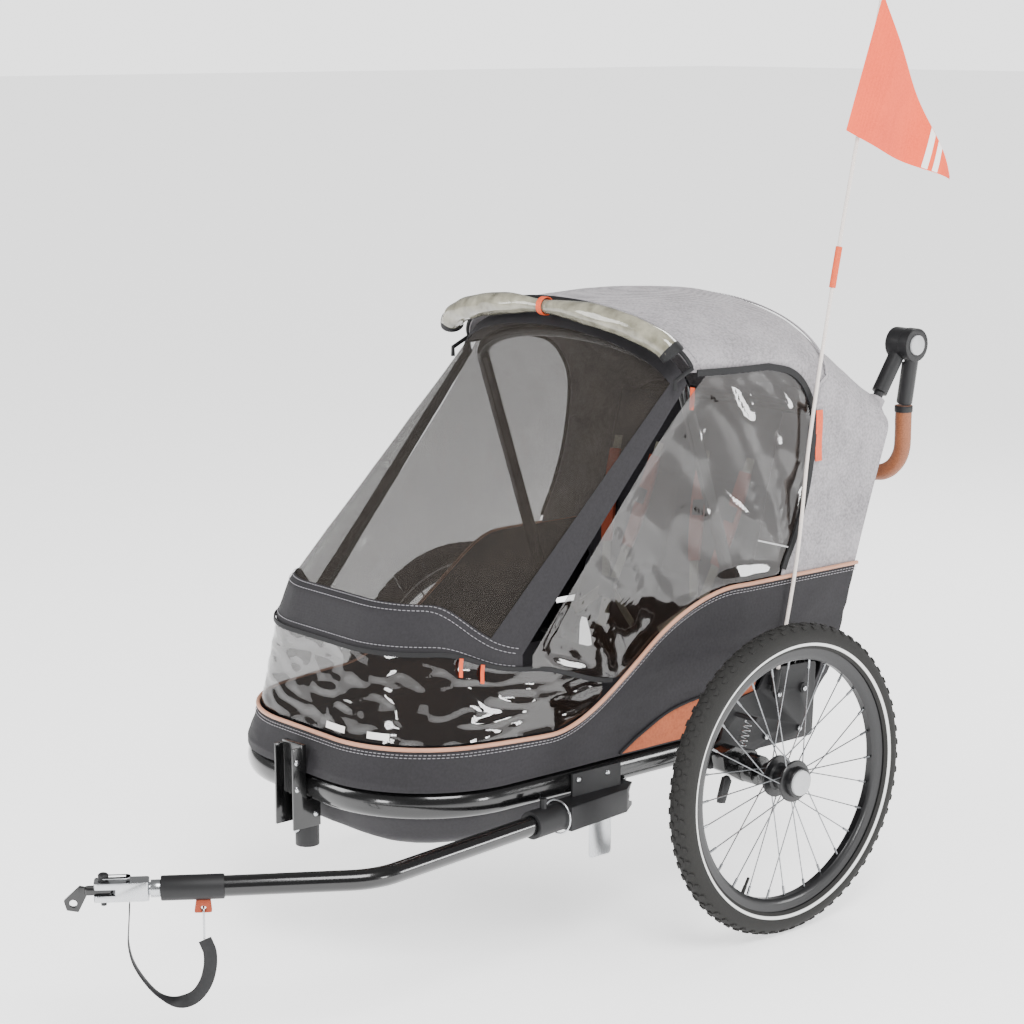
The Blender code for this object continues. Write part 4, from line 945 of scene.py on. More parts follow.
@dataclass(frozen=True)
class CabinShape:
    """Sizes and curves of the fabric body, in metres."""

    half_width: float = 0.268
    nose_y: float = -0.650
    nose_radius: float = 0.197
    wall_z: float = 0.2975
    floor_z: float = 0.192
    rail_end_y: float = 0.198

    def bulge(self, y: float, z: float) -> float:
        """Return how far the side stands out beyond the rail line."""
        return 0.028 * smooth_step(-0.16, 0.03, y) * smooth_step(0.300, 0.395, z)

    def tub_top(self, y: float) -> float:
        """Return the height of the tub's upper edge."""
        return 0.361 + 0.181 * smooth_step(-0.37, 0.0, y)

    def seam_z(self, y: float) -> float:
        """Return the height of the zip line round the front."""
        return 0.424 + 0.043 * smooth_step(-0.235, -0.41, y) + 0.031 * smooth_step(-0.41, -0.56, y)

    def rear_y(self, z: float) -> float:
        """Return the leaning rear wall's Y at a height."""
        height = z - 0.266
        return self.rail_end_y + 0.25 * height + 0.13 * height * height

    def lean(self, y: float, z: float) -> float:
        """Return how far the nose leans in at a height."""
        depth = between([(0.31, 0.0), (0.361, 0.019), (0.498, 0.046), (0.560, 0.068)], z)
        return depth * smooth_step(-0.36, -0.50, y)

    def plan(
        self, inset: float, back: float, sides: int = 60, arc: int = 30, front: int = 12
    ) -> list[tuple[Point, Point]]:
        """Return plan points with normals from the near side round the nose to the far side."""
        half, radius = self.half_width - inset, self.nose_radius - inset
        start_y = self.nose_y + self.nose_radius
        near: list[tuple[Point, Point]] = []
        if back > start_y + 1e-4:
            near = [((half, back + (start_y - back) * i / sides), (1.0, 0.0)) for i in range(sides)]
        for step in range(arc + 1):
            angle = math.pi / 2 * step / arc
            nx, ny = math.cos(angle), -math.sin(angle)
            near.append(((half - radius + radius * nx, start_y + radius * ny), (nx, ny)))
        flat = (half - radius)
        for step in range(1, front):
            near.append(((flat * (1 - step / front), self.nose_y + inset), (0.0, -1.0)))
        middle = ((0.0, self.nose_y + inset), (0.0, -1.0))
        return near + [middle] + [((-x, y), (-nx, ny)) for (x, y), (nx, ny) in reversed(near)]

    def leaned(self, point: Point, normal: Point, z: float) -> Vector:
        """Return the wall point with the nose's lean and the side's bulge."""
        (x, y), (nx, ny) = point, normal
        depth = self.lean(y, z)
        side = math.copysign(self.bulge(y, z), x) if abs(nx) > 0.9 else 0.0
        return Vector((x - nx * depth + side, y - ny * depth, z))

    def wall(self, inset: float, rule: Callable[[float], float], rear: int = 0) -> list[Vector]:
        """Return one line of the wall at a ruled height, with rear points when the line closes."""
        base = 0.30
        for _ in range(2):
            base = rule(self.rear_y(base))
        back = self.rear_y(base) - inset
        ring = [self.leaned(point, normal, rule(point[1])) for point, normal in self.plan(inset, back)]
        if rear:
            ring += [ring[-1].lerp(ring[0], step / rear) for step in range(1, rear)]
        return ring

    def roof_half(self, y: float) -> float:
        """Return the roof's half width."""
        return self.half_width - 0.002 + self.bulge(y, 0.6)

    def roof_ring(self, share: float, inset: float = 0.0, arc: int = 34, leg: int = 26) -> list[Vector]:
        """Return the canopy's arch at a share of its length, up one side and down the other."""
        shoulder = 0.892 - 0.012 * share - 0.128 * smooth_step(0.42, 1.0, share)
        crown = 0.980 + 0.007 * math.sin(
            math.pi * min(share / 0.62, 1.0)
        ) - 0.168 * smooth_step(0.50, 1.06, share)
        drop = 0.012 * smooth_step(0.95, 1.0, share)
        shoulder, crown = shoulder - drop, crown - drop * 1.4

        def along(z: float) -> float:
            return -0.120 + (self.rear_y(z) + 0.120) * share - inset * share

        foot = self.tub_top(along(0.543)) + 0.0015
        square = smooth_step(0.62, 1.0, share)
        half = []
        for step in range(leg):
            z = foot + (shoulder - foot) * step / leg
            half.append(Vector((self.roof_half(along(z)) - inset, along(z), z)))
        for step in range(arc + 1):
            angle = math.pi / 2 * step / arc
            z = shoulder - inset + (crown - shoulder) * math.sin(angle) ** (1.12 - 0.55 * square)
            x = (self.roof_half(along(z)) - inset) * math.cos(angle) ** (0.92 - 0.40 * square)
            half.append(
                Vector((x if step < arc else 0.0, along(z) + 0.036 * (1 - math.sin(angle)) * (1 - share), z))
            )
        return half + [Vector((-p.x, p.y, p.z)) for p in reversed(half[:-1])]

    def cover_point(self, u: float, v: float) -> Vector:
        """Return a point of the mesh front: u from near to far side, v from the zip line to the roof edge."""
        line = self.cover_line()
        spot = u * (len(line) - 1)
        index = min(int(spot), len(line) - 2)
        low_a, high_a = self.cover_ends(index, line)
        low_b, high_b = self.cover_ends(index + 1, line)
        share = spot - index
        low, high = low_a.lerp(low_b, share), high_a.lerp(high_b, share)
        angle = math.pi * u
        top = Vector(
            (0.262 * math.cos(angle), -0.086 - 0.040 * math.sin(angle), 0.868 + 0.096 * math.sin(angle))
        )
        hem = 0.12
        if v < hem:
            return low.lerp(high, v / hem)
        return high.lerp(top, (v - hem) / (1 - hem))

    def cover_line(self) -> list[tuple[Point, Point]]:
        """Return the plan points that the mesh front stands on."""
        return self.plan(0.002, -0.413, sides=4, arc=20, front=8)

    def cover_ends(self, index: int, line: list[tuple[Point, Point]]) -> tuple[Vector, Vector]:
        """Return the front band's low and high points at one plan point."""
        point, normal = line[index]
        y = point[1]
        low = self.leaned(point, normal, self.seam_z(y) + 0.0015)
        high = self.leaned(point, normal, 0.488 + 0.069 * smooth_step(-0.413, -0.58, y))
        return low, high

    def window_low(self, y: float) -> float:
        """Return the side window's lower edge."""
        foot = max(self.tub_top(y) + 0.003, self.seam_z(y) + 0.0015 if y < -0.20 else 0.0)
        return foot if y < 0.094 else between(
            [(0.094, foot), (0.128, 0.612), (0.154, 0.694), (0.1660, 0.767)], y
        )

    def window_high(self, y: float) -> float:
        """Return the side window's upper edge."""
        if y < -0.078:
            return between([(-0.410, 0.485), (-0.078, 0.868)], y) - 0.004
        line = [
            (-0.078, 0.864), (-0.06, 0.884), (0.058, 0.884), (0.112, 0.870), (0.147, 0.838), (0.1665, 0.790)
        ]
        return between(line, y)


CABIN = CabinShape()
THREAD = Finish("grey_thread", "#77757a", "#a5a3a8", 0.7, 0.05, pattern_mm=0.8, relief_mm=0.05)


@dataclass
class FabricTub:
    """Black lower body: side wall, flange over the rail, hull-shaped footwell, piping and rust vent."""

    flange: float = 0.034
    cloth: float = 2.2 * MM
    fold_depth: float = 2.0 * MM
    piping_radius: float = 3.4 * MM

    def build(self) -> None:
        """Make every piece of the tub."""
        self.shell()
        self.piping()
        self.vents()
        self.seams()

    def section(self) -> list[list[Vector]]:
        """Return closed lines from the top edge down the wall, over the flange and round the hull."""
        level = lambda share: lambda y: CABIN.wall_z + (CABIN.tub_top(y) - CABIN.wall_z) * share
        rows = [CABIN.wall(0.0003, level(share), rear=30) for share in spread(0.995, 0.02, 34)]

        def hull(depth: float) -> Callable[[float], float]:
            low = CABIN.wall_z - (CABIN.wall_z - CABIN.floor_z) * depth
            seat = min(CABIN.wall_z - 0.0035 - 0.005 * depth, CABIN.wall_z)
            return lambda y: low + (max(seat, low) - low) * smooth_step(-0.19, -0.11, y) + 0.0006

        for inset in spread(0.003, self.flange, 5):
            rows.append(CABIN.wall(inset, lambda y: CABIN.wall_z + 0.0008, rear=30))
        line = [(0.0, 0.0), (0.5, 0.004), (0.86, 0.024), (1.0, 0.055)]
        for depth in spread(0.06, 1.0, 16):
            rows.append(CABIN.wall(self.flange + between(line, depth), hull(depth), rear=30))
        return rows

    def shell(self) -> None:
        """Make the cloth shell with its folds."""
        rows = self.section()
        item = grid("tub_cloth", rows, closed=True)
        count = len(rows[0])
        last = (len(rows) - 1) * count

        def close(shape: bmesh.types.BMesh) -> None:
            shape.verts.ensure_lookup_table()
            corners = [shape.verts[last + i] for i in range(count)]
            made = shape.faces.new(corners)
            bmesh.ops.triangulate(shape, faces=[made])

        edit(item, close)
        item = face_away(item, (0, -0.2, 0.33))

        def folds(place: Vector, normal: Vector) -> float:
            edge = smooth_step(0.0, 0.03, CABIN.tub_top(place.y) - place.z)
            free = edge * smooth_step(CABIN.wall_z, CABIN.wall_z + 0.02, place.z)
            if place.z < CABIN.wall_z:
                free = 0.4 * smooth_step(CABIN.wall_z, CABIN.wall_z - 0.03, place.z)
            wide = crease(place, 0.085, (0.6, 0.6, 2.2), 3.0)
            fine = crease(place, 0.03, (1, 1, 1.6), 9.0)
            return self.fold_depth * free * (0.7 * wide + 0.3 * fine - 0.45)

        item = thickened(pushed(item, folds), self.cloth)
        item = self.notch(item)
        settle(smoothed(item, 60), Body.CHASSIS, BLACK_OXFORD, ["tub"], folds=True)

    def notch(self, item: bpy.types.Object) -> bpy.types.Object:
        """Cut the openings that the hoops' pivots pass through."""
        for side in (-1, 1):
            low, high = sorted((side * 0.22, side * 0.33))
            outline = [(0.050, 0.305), (0.2, 0.305), (0.2, 0.398), (0.050, 0.398)]
            item = cut_away(item, prism("notch", outline, low, high, side_frame()))
        return item

    def edge(self, out: float, drop: float) -> list[Vector]:
        """Return the tub's top edge, moved out and down."""
        return CABIN.wall(-out, lambda y: CABIN.tub_top(y) - drop)

    def piping(self) -> None:
        """Make the copper piping on the top edge."""
        path = self.edge(0.0012, 0.0008)
        item = tube("tub_piping", path, circle(self.piping_radius, 10), up=(0, 0, 1))
        settle(item, Body.CHASSIS, COPPER_PIPING, folds=True)

    def vents(self) -> None:
        """Make the rust vent panel on each side, bordered by piping."""
        top = [
            (-0.229, 0.3035), (-0.187, 0.326), (-0.122, 0.354), (-0.056, 0.370), (0.02, 0.382), (0.092, 0.392)
        ]
        for tag, side in (("left", 1), ("right", -1)):
            rows = []
            for share in spread(0.0, 1.0, 14):
                row = []
                for y in spread(-0.226, 0.045, 60):
                    z = 0.3025 + (max(between(top, y), 0.3045) - 0.3025) * share
                    x = CABIN.half_width + CABIN.bulge(y, z) + 0.0012
                    row.append(Vector((side * x, y, z)))
                rows.append(row)
            item = face_away(grid(f"vent_{tag}", rows), (0, 0, 0.35))
            item = pushed(item, lambda p, n: 0.0008 * crease(p, 0.05, (1, 1, 1.5), 4.0))
            settle(smoothed(thickened(item, 0.0009)), Body.CHASSIS, RUST_KNIT, folds=True)
            line = [
                Vector((side * (CABIN.half_width + CABIN.bulge(y, z) + 0.0018), y, z)) for y, z in top[:-1]
            ]
            trim = tube(f"vent_trim_{tag}", curved(line, 8), circle(0.0021, 8), up=(1, 0, 0))
            settle(trim, Body.CHASSIS, BLACK_TAPE, folds=True)

    def seams(self) -> None:
        """Sew two rows of stitches under the piping."""
        for index, drop in enumerate((0.0085, 0.0125)):
            path = self.edge(0.0006, drop)
            item = stitches(f"tub_stitches_{index}", path, THREAD, 0.007)
            settle(item, Body.CHASSIS, THREAD, folds=True)


@dataclass
class Canopy:
    """Grey roof, rear sides and rear wall in one shell, with bound window openings."""

    cloth: float = 2.4 * MM

    def build(self) -> None:
        """Make the canopy and its trims."""
        self.shell()
        self.bindings()
        self.roof_trims()
        self.tags()

    def shell(self) -> None:
        """Make the cloth shell and cut its windows and grommet holes."""
        rows = [CABIN.roof_ring(share, 0.0004) for share in spread(0.0, 1.0, 72)]
        count = len(rows[0])
        item = grid("canopy_cloth", rows)
        last = (len(rows) - 1) * count

        def close(shape: bmesh.types.BMesh) -> None:
            shape.verts.ensure_lookup_table()
            previous = None
            half = count // 2
            columns = 22
            for step in range(half + 1):
                a, b = shape.verts[last + step], shape.verts[last + count - 1 - step]
                line = [a]
                if step < half:
                    for k in range(1, columns):
                        line.append(shape.verts.new(a.co.lerp(b.co, k / columns)))
                    line.append(b)
                shape.verts.ensure_lookup_table()
                if previous and len(line) > 1:
                    for k in range(columns):
                        shape.faces.new((previous[k], previous[k + 1], line[k + 1], line[k]))
                elif previous:
                    for k in range(columns):
                        shape.faces.new((previous[k], previous[k + 1], a))
                previous = line

        edit(item, close)
        item = face_away(item, (0, 0.1, 0.7))

        def sag(place: Vector, normal: Vector) -> float:
            held = smooth_step(0.0, 0.05, place.z - 0.56)
            wide = crease(place, 0.16, (0.8, 1.0, 1.0), 1.0)
            drag = crease(place, 0.045, (0.5, 1.1, 0.8), 6.0)
            hollow = -0.0022 * smooth_step(
                0.10, 0.0, abs(place.y - 0.19)
            ) * smooth_step(0.9, 0.99, place.z + 0.06)
            return held * (0.0010 * wide + 0.0007 * drag - 0.0012) + hollow

        item = thickened(pushed(item, sag), self.cloth)
        item = cut_away(item, prism("window", self.window_outline(), -0.4, 0.4, side_frame()))
        foot, axis = Vector((0, 0.360, 0.775)), Vector((0, 0.077, 0.112)).normalized()
        for side in (-1, 1):
            start = foot + Vector((side * 0.243, 0, 0)) - axis * 0.03
            hole = outward(turned("hole", [(0.0, 0.0148), (0.06, 0.0148)], start, axis, 24))
            item = cut_away(item, hole)
        settle(smoothed(item, 50), Body.CHASSIS, HEATHER_GREY, ["canopy"], folds=True)
        hung(rows)

    def window_outline(self) -> list[Point]:
        """Return the side window's outline in the side view, run past the front edge."""
        rear = [(0.060, 0.886, 0), (0.115, 0.872, 0), (0.150, 0.840, 0), (0.169, 0.787, 0), (0.158, 0.690, 0)]
        rear += [(0.132, 0.610, 0), (0.099, 0.535, 0), (0.090, 0.40, 0)]
        arc = [(p.x, p.y) for p in curved(rear, 5)]
        return [(-0.30, 0.886)] + arc + [(-0.30, 0.40)]

    def bindings(self) -> None:
        """Make the black tape round each window's rear and top."""
        for tag, side in (("left", 1), ("right", -1)):
            path = []
            for y, z in self.window_outline()[1:-2]:
                if z > CABIN.tub_top(y) + 0.004:
                    path.append(Vector((side * (CABIN.roof_half(y) + 0.0006), y, z)))
            front = [
                Vector((side * (CABIN.roof_half(y) + 0.0006), y, 0.886)) for y in spread(-0.080, 0.05, 12)
            ]
            item = tube(f"window_tape_{tag}", front + path, band(0.011, 0.0030), up=(0, 0, 1))
            settle(item, Body.CHASSIS, BLACK_TAPE, folds=True)

    def roof_line(self, share: float, out: float, inner: float = 0.0) -> list[Vector]:
        """Return a line across the roof at a share of its length, from shoulder to shoulder."""
        ring = CABIN.roof_ring(share, -out)
        keep = [p for p in ring if p.z > 0.886 - 0.13 * share - inner]
        return keep

    def roof_trims(self) -> None:
        """Make the front binding with stitches behind it, and the crease seam with its stitches."""
        front = tube("roof_front_piping", self.roof_line(0.0, 0.0012, 0.03), circle(0.0036, 10), up=(0, 1, 0))
        settle(front, Body.CHASSIS, BLACK_TAPE, folds=True)
        for index, share in enumerate((0.035, 0.58, 0.60)):
            path = self.roof_line(share, 0.0002, 0.0)
            settle(
                stitches(f"roof_stitches_{index}", path, THREAD, 0.007),
                Body.CHASSIS,
                THREAD,
                folds=True,
            )
        seam = tube("roof_crease_seam", self.roof_line(0.59, 0.0002, 0.0), band(0.006, 0.0016), up=(0, 1, 0))
        settle(seam, Body.CHASSIS, HEATHER_GREY, folds=True)

    def tags(self) -> None:
        """Make the plain orange tag behind each window."""
        for tag, side in (("left", 1), ("right", -1)):
            rows = []
            for z in spread(0.722, 0.805, 10):
                row = []
                for y in spread(0.172, 0.187, 4):
                    row.append(
                        Vector((side * (CABIN.roof_half(y) + 0.0022 + 0.0006 * math.sin(z * 90)), y, z))
                    )
                rows.append(row)
            item = face_away(grid(f"orange_tag_{tag}", rows), (0, 0.15, 0.7))
            settle(smoothed(thickened(item, 0.0012)), Body.CHASSIS, ORANGE_TAB, folds=True)


@dataclass
class Covers:
    """Net front with its black borders, clear front band, clear side windows and the rain roll."""

    net_thickness: float = 0.7 * MM
    border: float = 1.5 * MM
    sheet: float = 0.9 * MM

    def build(self) -> None:
        """Make every cover."""
        self.net()
        self.borders()
        self.front_band()
        self.side_windows()
        self.roll()
        self.zips()

    def net(self) -> None:
        """Make the netting."""
        rows = [[CABIN.cover_point(u, v) for u in spread(0.035, 0.965, 120)] for v in spread(0.13, 0.985, 90)]
        item = face_away(grid("front_net", rows), (0, -0.1, 0.5))

        def slack(place: Vector, normal: Vector) -> float:
            return 0.0016 * crease(place, 0.10, (0.7, 0.5, 0.5), 2.0) - 0.0024

        item = thickened(pushed(item, slack), self.net_thickness)
        settle(smoothed(item, 60), Body.CHASSIS, NETTING, ["front_cover"], folds=True)
        hung(rows)

    def strip(self, name: str, us: list[float], vs: list[float]) -> None:
        """Make one black border of the net between two pairs of shares."""
        rows = [[CABIN.cover_point(u, v) for u in us] for v in vs]
        item = face_away(grid(name, rows), (0, -0.1, 0.5))
        item = pushed(item, lambda p, n: 0.0007 * crease(p, 0.05, (1, 1, 1), 5.0) - 0.0004)
        settle(smoothed(thickened(item, self.border), 50), Body.CHASSIS, BLACK_OXFORD, folds=True)

    def borders(self) -> None:
        """Make the hem band round the nose, both edges and the top band."""
        self.strip("net_hem", spread(0.0, 1.0, 160), spread(0.0, 0.145, 12))
        for tag, low, high in (("left", 0.0, 0.075), ("right", 0.925, 1.0)):
            self.strip(f"net_edge_{tag}", spread(low, high, 14), spread(0.12, 1.0, 90))
        self.strip("net_top", spread(0.03, 0.97, 120), spread(0.955, 1.0, 5))
        for index, v in enumerate((0.018, 0.125, 0.140)):
            path = [CABIN.cover_point(u, v) + Vector((0, -0.0009, 0.0004)) for u in spread(0.02, 0.98, 90)]
            settle(
                stitches(f"hem_stitches_{index}", path, THREAD, 0.007),
                Body.CHASSIS,
                THREAD,
                folds=True,
            )

    def front_band(self) -> None:
        """Make the clear band round the nose with two pale strips of painted highlight on it."""
        line = CABIN.plan(0.003, -0.262, sides=24, arc=44, front=16)
        rows = []
        for share in spread(0.0, 1.0, 26):
            row = []
            for point, normal in line:
                low, high = CABIN.tub_top(point[1]) + 0.0045, CABIN.seam_z(point[1]) - 0.0015
                row.append(CABIN.leaned(point, normal, low + (high - low) * share))
            rows.append(row)
        item = face_away(grid("clear_band", rows), (0, -0.3, 0.42))

        def wrinkle(place: Vector, normal: Vector) -> float:
            return 0.0024 * crease(place, 0.055, (0.9, 0.9, 2.4), 7.0) - 0.0012

        item = thickened(pushed(item, wrinkle), self.sheet)
        settle(smoothed(item, 70), Body.CHASSIS, SMOKY_PVC, ["front_window"], folds=True)
        hung(rows)
        # Painted highlight: two pale strips low on the band stand in for white glints of light on the glossy
        # sheet.
        for index, (low, high) in enumerate(((0.310, 0.345), (0.385, 0.440))):
            spots = [line[int(len(line) * share)] for share in spread(low, high, 14)]
            rows = []
            for rise in spread(0.010, 0.020, 4):
                row = []
                for p, n in spots:
                    foot = CABIN.leaned(p, n, CABIN.tub_top(p[1]) + rise)
                    row.append(foot + Vector((n[0], n[1], 0)) * 0.0012)
                rows.append(row)
            piece = face_away(grid(f"reflector_strip_{index}", rows), (0, -0.3, 0.42))
            settle(thickened(piece, 0.0006), Body.CHASSIS, PALE_PRINT_AND_HIGHLIGHT, folds=True)

    def side_windows(self) -> None:
        """Make the clear side panels with their drag creases."""
        for tag, side in (("left", 1), ("right", -1)):
            rows = []
            for share in spread(0.0, 1.0, 70):
                row = []
                for y in spread(-0.404, 0.1655, 90):
                    low, high = CABIN.window_low(y), CABIN.window_high(y)
                    z = low + (high - low) * share
                    row.append(Vector((side * (CABIN.half_width - 0.0035 + CABIN.bulge(y, z)), y, z)))
                rows.append(row)
            item = face_away(grid(f"side_clear_{tag}", rows), (0, 0, 0.6))

            def wrinkle(place: Vector, normal: Vector) -> float:
                rim = smooth_step(0.0, 0.03, place.z - CABIN.window_low(place.y))
                rim *= smooth_step(0.0, 0.03, CABIN.window_high(place.y) - place.z)
                slant = Vector((place.x, place.y + 0.5 * place.z, place.z * 0.35))
                return rim * (0.0034 * crease(slant, 0.060, (1, 1, 1), 11.0) - 0.0016)

            item = thickened(pushed(item, wrinkle), self.sheet)
            settle(
                smoothed(item, 70), Body.CHASSIS, SMOKY_PVC, [f"side_window_{tag}"], folds=True
            )
            hung(rows)

    def roll(self) -> None:
        """Make the rolled rain cover, its dark ends and the tie that pinches it."""
        path, scale = [], []
        for step in range(61):
            angle = math.pi * (0.03 + 0.94 * step / 60)
            path.append(
                Vector(
                    (
                        0.270 * math.cos(angle),
                        -0.120 - 0.030 * math.sin(angle),
                        0.910 + 0.062 * math.sin(angle),
                    )
                )
            )
            scale.append(0.60 + 0.38 * smooth_step(0.0, 9.0, abs(step - 30)))
        item = tube("rain_cover_roll", path[2:-2], circle(0.0200, 28), up=(0, 1, 0), scale=scale[2:-2])

        def layers(place: Vector, normal: Vector) -> float:
            spiral = math.sin(place.x * 60 + place.z * 210)
            return 0.0011 * crease(place, 0.035, (0.35, 1.5, 1.5), 8.0) + 0.0005 * spiral - 0.0010

        settle(smoothed(pushed(item, layers), 60), Body.FRONT_HOOP, ROLLED_PVC, ["rain_roll"])
        for tag, low, high in (("left", 0, 4), ("right", 57, 61)):
            cap = tube(f"roll_end_{tag}", path[low:high], circle(0.0196, 24), up=(0, 1, 0))
            settle(cap, Body.FRONT_HOOP, BLACK_TAPE)
        middle = path[30]
        ring = [
            middle + Vector((0, 0.0142 * math.cos(t), 0.0142 * math.sin(t)))
            for t in spread(0, 2 * math.pi, 29)
        ]
        tie = tube("roll_tie", ring, band(0.012, 0.0016), up=(1, 0, 0), ends=False)
        settle(tie, Body.FRONT_HOOP, ORANGE_TAB)

    def zips(self) -> None:
        """Make the zip round the nose and the orange pull tabs."""
        line = CABIN.plan(0.0, -0.245, sides=24, arc=30, front=12)
        path = [CABIN.leaned(p, n, CABIN.seam_z(p[1])) + Vector((n[0], n[1], 0)) * 0.0002 for p, n in line]
        tape = tube("zip_tape", path, band(0.0075, 0.0022), up=(0, 0, 1))
        settle(tape, Body.CHASSIS, BLACK_TAPE, folds=True)
        for name, index in (("pull_a", 26), ("pull_b", 30)):
            spot = path[index]
            drop = [
                spot + Vector((0.002, -0.003, 0)),
                spot + Vector((0.004, -0.006, -0.012)),
                spot + Vector((0.004, -0.006, -0.028)),
            ]
            tab = tube(f"orange_{name}", curved(drop, 5), band(0.006, 0.0016), up=(0.8, 0.6, 0))
            settle(tab, Body.CHASSIS, ORANGE_TAB, folds=True)
        spot = Vector((0.2655, -0.078, 0.862))
        drop = [spot, spot + Vector((0.004, -0.004, -0.014)), spot + Vector((0.004, -0.006, -0.034))]
        tab = tube("orange_pull_top", curved(drop, 5), band(0.008, 0.0016), up=(0.3, 1, 0))
        settle(tab, Body.CHASSIS, ORANGE_TAB, folds=True)


@dataclass
class Seats:
    """Padded seat base and back, two harnesses with pads, webbing and buckles."""

    harness_offset: float = 0.108
    pressure: float = 4.0
    cap: float = 7 * MM

    def build(self) -> None:
        """Make the cushions and both harnesses."""
        self.base()
        self.back()
        for tag, side in (("left", 1), ("right", -1)):
            self.harness(tag, side)

    def inflated(self, item: bpy.types.Object, grip: float) -> bpy.types.Object:
        """Remesh a pad and swell it as stuffed cloth.

        Args:
            item: A closed, slightly undersized pad.
            grip: The height below which it keeps its shape.

        Returns:
            The swollen pad.
        """
        item = modified(item, "REMESH", mode="VOXEL", voxel_size=0.0055)
        rest = [vertex.co.copy() for vertex in item.data.vertices]
        cloth = item.modifiers.new("Cloth", "CLOTH")
        cloth.settings.use_pressure = True
        cloth.settings.uniform_pressure_force = self.pressure
        cloth.settings.effector_weights.gravity = 0.0
        cloth.settings.quality = 5
        for frame_number in range(1, 21):
            bpy.context.scene.frame_set(frame_number)
        item = baked(item)
        bpy.context.scene.frame_set(1)
        for vertex, place in zip(item.data.vertices, rest):
            move = vertex.co - place
            if move.length > self.cap:
                vertex.co = place + move.normalized() * self.cap
            vertex.co.z = max(vertex.co.z, grip)
        return modified(item, "SUBSURF", levels=1, render_levels=1)

    def base(self) -> None:
        """Make the seat cushion with its middle channel."""
        item = prism(
            "seat_cushion",
            [(-0.214, -0.142), (0.214, -0.142), (0.214, 0.068), (-0.214, 0.068)],
            0.309,
            0.354,
            Matrix(),
        )
        item = modified(item, "BEVEL", width=0.012, segments=3)
        item = self.inflated(item, 0.3055)
        item = pushed(item, lambda p, n: -0.006 * math.exp(-((p.x / 0.006) ** 2)) * (n.z > 0.3))
        settle(smoothed(item, 80), Body.CHASSIS, SEAT_TWILL, ["seat_base"], folds=True)

    def back(self) -> None:
        """Make the seat back, quilted in two seats."""
        lean = Matrix.Translation((0, 0.090, 0.372)) @ Matrix.Rotation(math.radians(-15), 4, "X")
        upright = lean @ Matrix(((1, 0, 0, 0), (0, 0, -1, 0), (0, 1, 0, 0), (0, 0, 0, 1)))
        outline = [(-0.206, 0.012), (0.206, 0.012), (0.196, 0.440), (-0.196, 0.440)]
        item = modified(
            prism("seat_back_pad", outline, -0.009, 0.006, upright), "BEVEL", width=0.005, segments=2
        )
        item = self.inflated(item, 0.0)
        back = upright.inverted()

        def channels(place: Vector, normal: Vector) -> float:
            flat = back @ place
            lines = [0.0, -0.2, 0.2]
            sewn = sum(math.exp(-(((flat.x - line) / 0.006) ** 2)) for line in lines)
            sewn += sum(math.exp(-(((flat.y - line) / 0.006) ** 2)) for line in (0.13, 0.30))
            return -0.0035 * min(sewn, 1.0)

        item = pushed(item, channels)
        settle(smoothed(item, 80), Body.CHASSIS, SEAT_TWILL, ["seat_back"], folds=True)

    def spot(self, side: int, across: float, rise: float, out: float) -> Vector:
        """Return a point just ahead of the seat back: across and up it, and out from it."""
        lean = Matrix.Translation((0, 0.090, 0.372)) @ Matrix.Rotation(math.radians(-15), 4, "X")
        return lean @ Vector((side * self.harness_offset + across, -out, rise))

    def harness(self, tag: str, side: int) -> None:
        """Make one harness: shoulder, lap and crotch webbing, pads, buckle and adjusters."""
        straps, pads, hard = [], [], []
        for way in (-1, 1):
            route = [
                (0.052 * way, 0.345),
                (0.046 * way, 0.28),
                (0.034 * way, 0.20),
                (0.016 * way, 0.12),
                (0.006 * way, 0.085),
            ]
            path = curved([self.spot(side, a, b, 0.0165 + 0.004 * math.sin(b * 9)) for a, b in route], 8)
            straps.append(tube("strap", path, band(0.019, 0.0016), up=(1, 0, 0)))
            pad = curved([self.spot(side, a, b, 0.0200) for a, b in route[:4]], 8)[3:-4]
            swell = [0.82 + 0.18 * math.sin(math.pi * i / (len(pad) - 1)) for i in range(len(pad))]
            pads.append(tube("pad", pad, band(0.030, 0.0062), up=(1, 0, 0), scale=swell))
            lap = [(0.012 * way, 0.078), (0.045 * way, 0.052), (0.075 * way, 0.030)]
            path = curved([self.spot(side, a, b, 0.018) for a, b in lap], 8)
            straps.append(tube("lap", path, band(0.018, 0.0016), up=(0.2, 0, 1)))
            clip = [self.spot(side, 0.040 * way, 0.262, 0.0235), self.spot(side, 0.036 * way, 0.236, 0.0235)]
            hard.append(tube("adjuster", clip, band(0.024, 0.003), up=(1, 0, 0)))
        crotch = [(0.0, 0.070), (0.0, 0.040), (0.0, 0.014)]
        straps.append(
            tube(
                "crotch",
                curved([self.spot(side, a, b, 0.018) for a, b in crotch], 8),
                band(0.022, 0.0018),
                up=(1, 0, 0),
            )
        )
        buckle = [self.spot(side, 0.0, 0.100, 0.0205), self.spot(side, 0.0, 0.064, 0.0205)]
        hard.append(tube("buckle", buckle, band(0.036, 0.009), up=(1, 0, 0)))
        settle(
            merged(f"harness_straps_{tag}", straps),
            Body.CHASSIS,
            KHAKI_WEBBING,
            [f"harness_{tag}"],
            True,
        )
        settle(merged(f"harness_pads_{tag}", pads), Body.CHASSIS, RUST_SUEDE, folds=True)
        settle(
            merged(f"harness_buckles_{tag}", hard), Body.CHASSIS, BLACK_NYLON, folds=True
        )


# Wheels


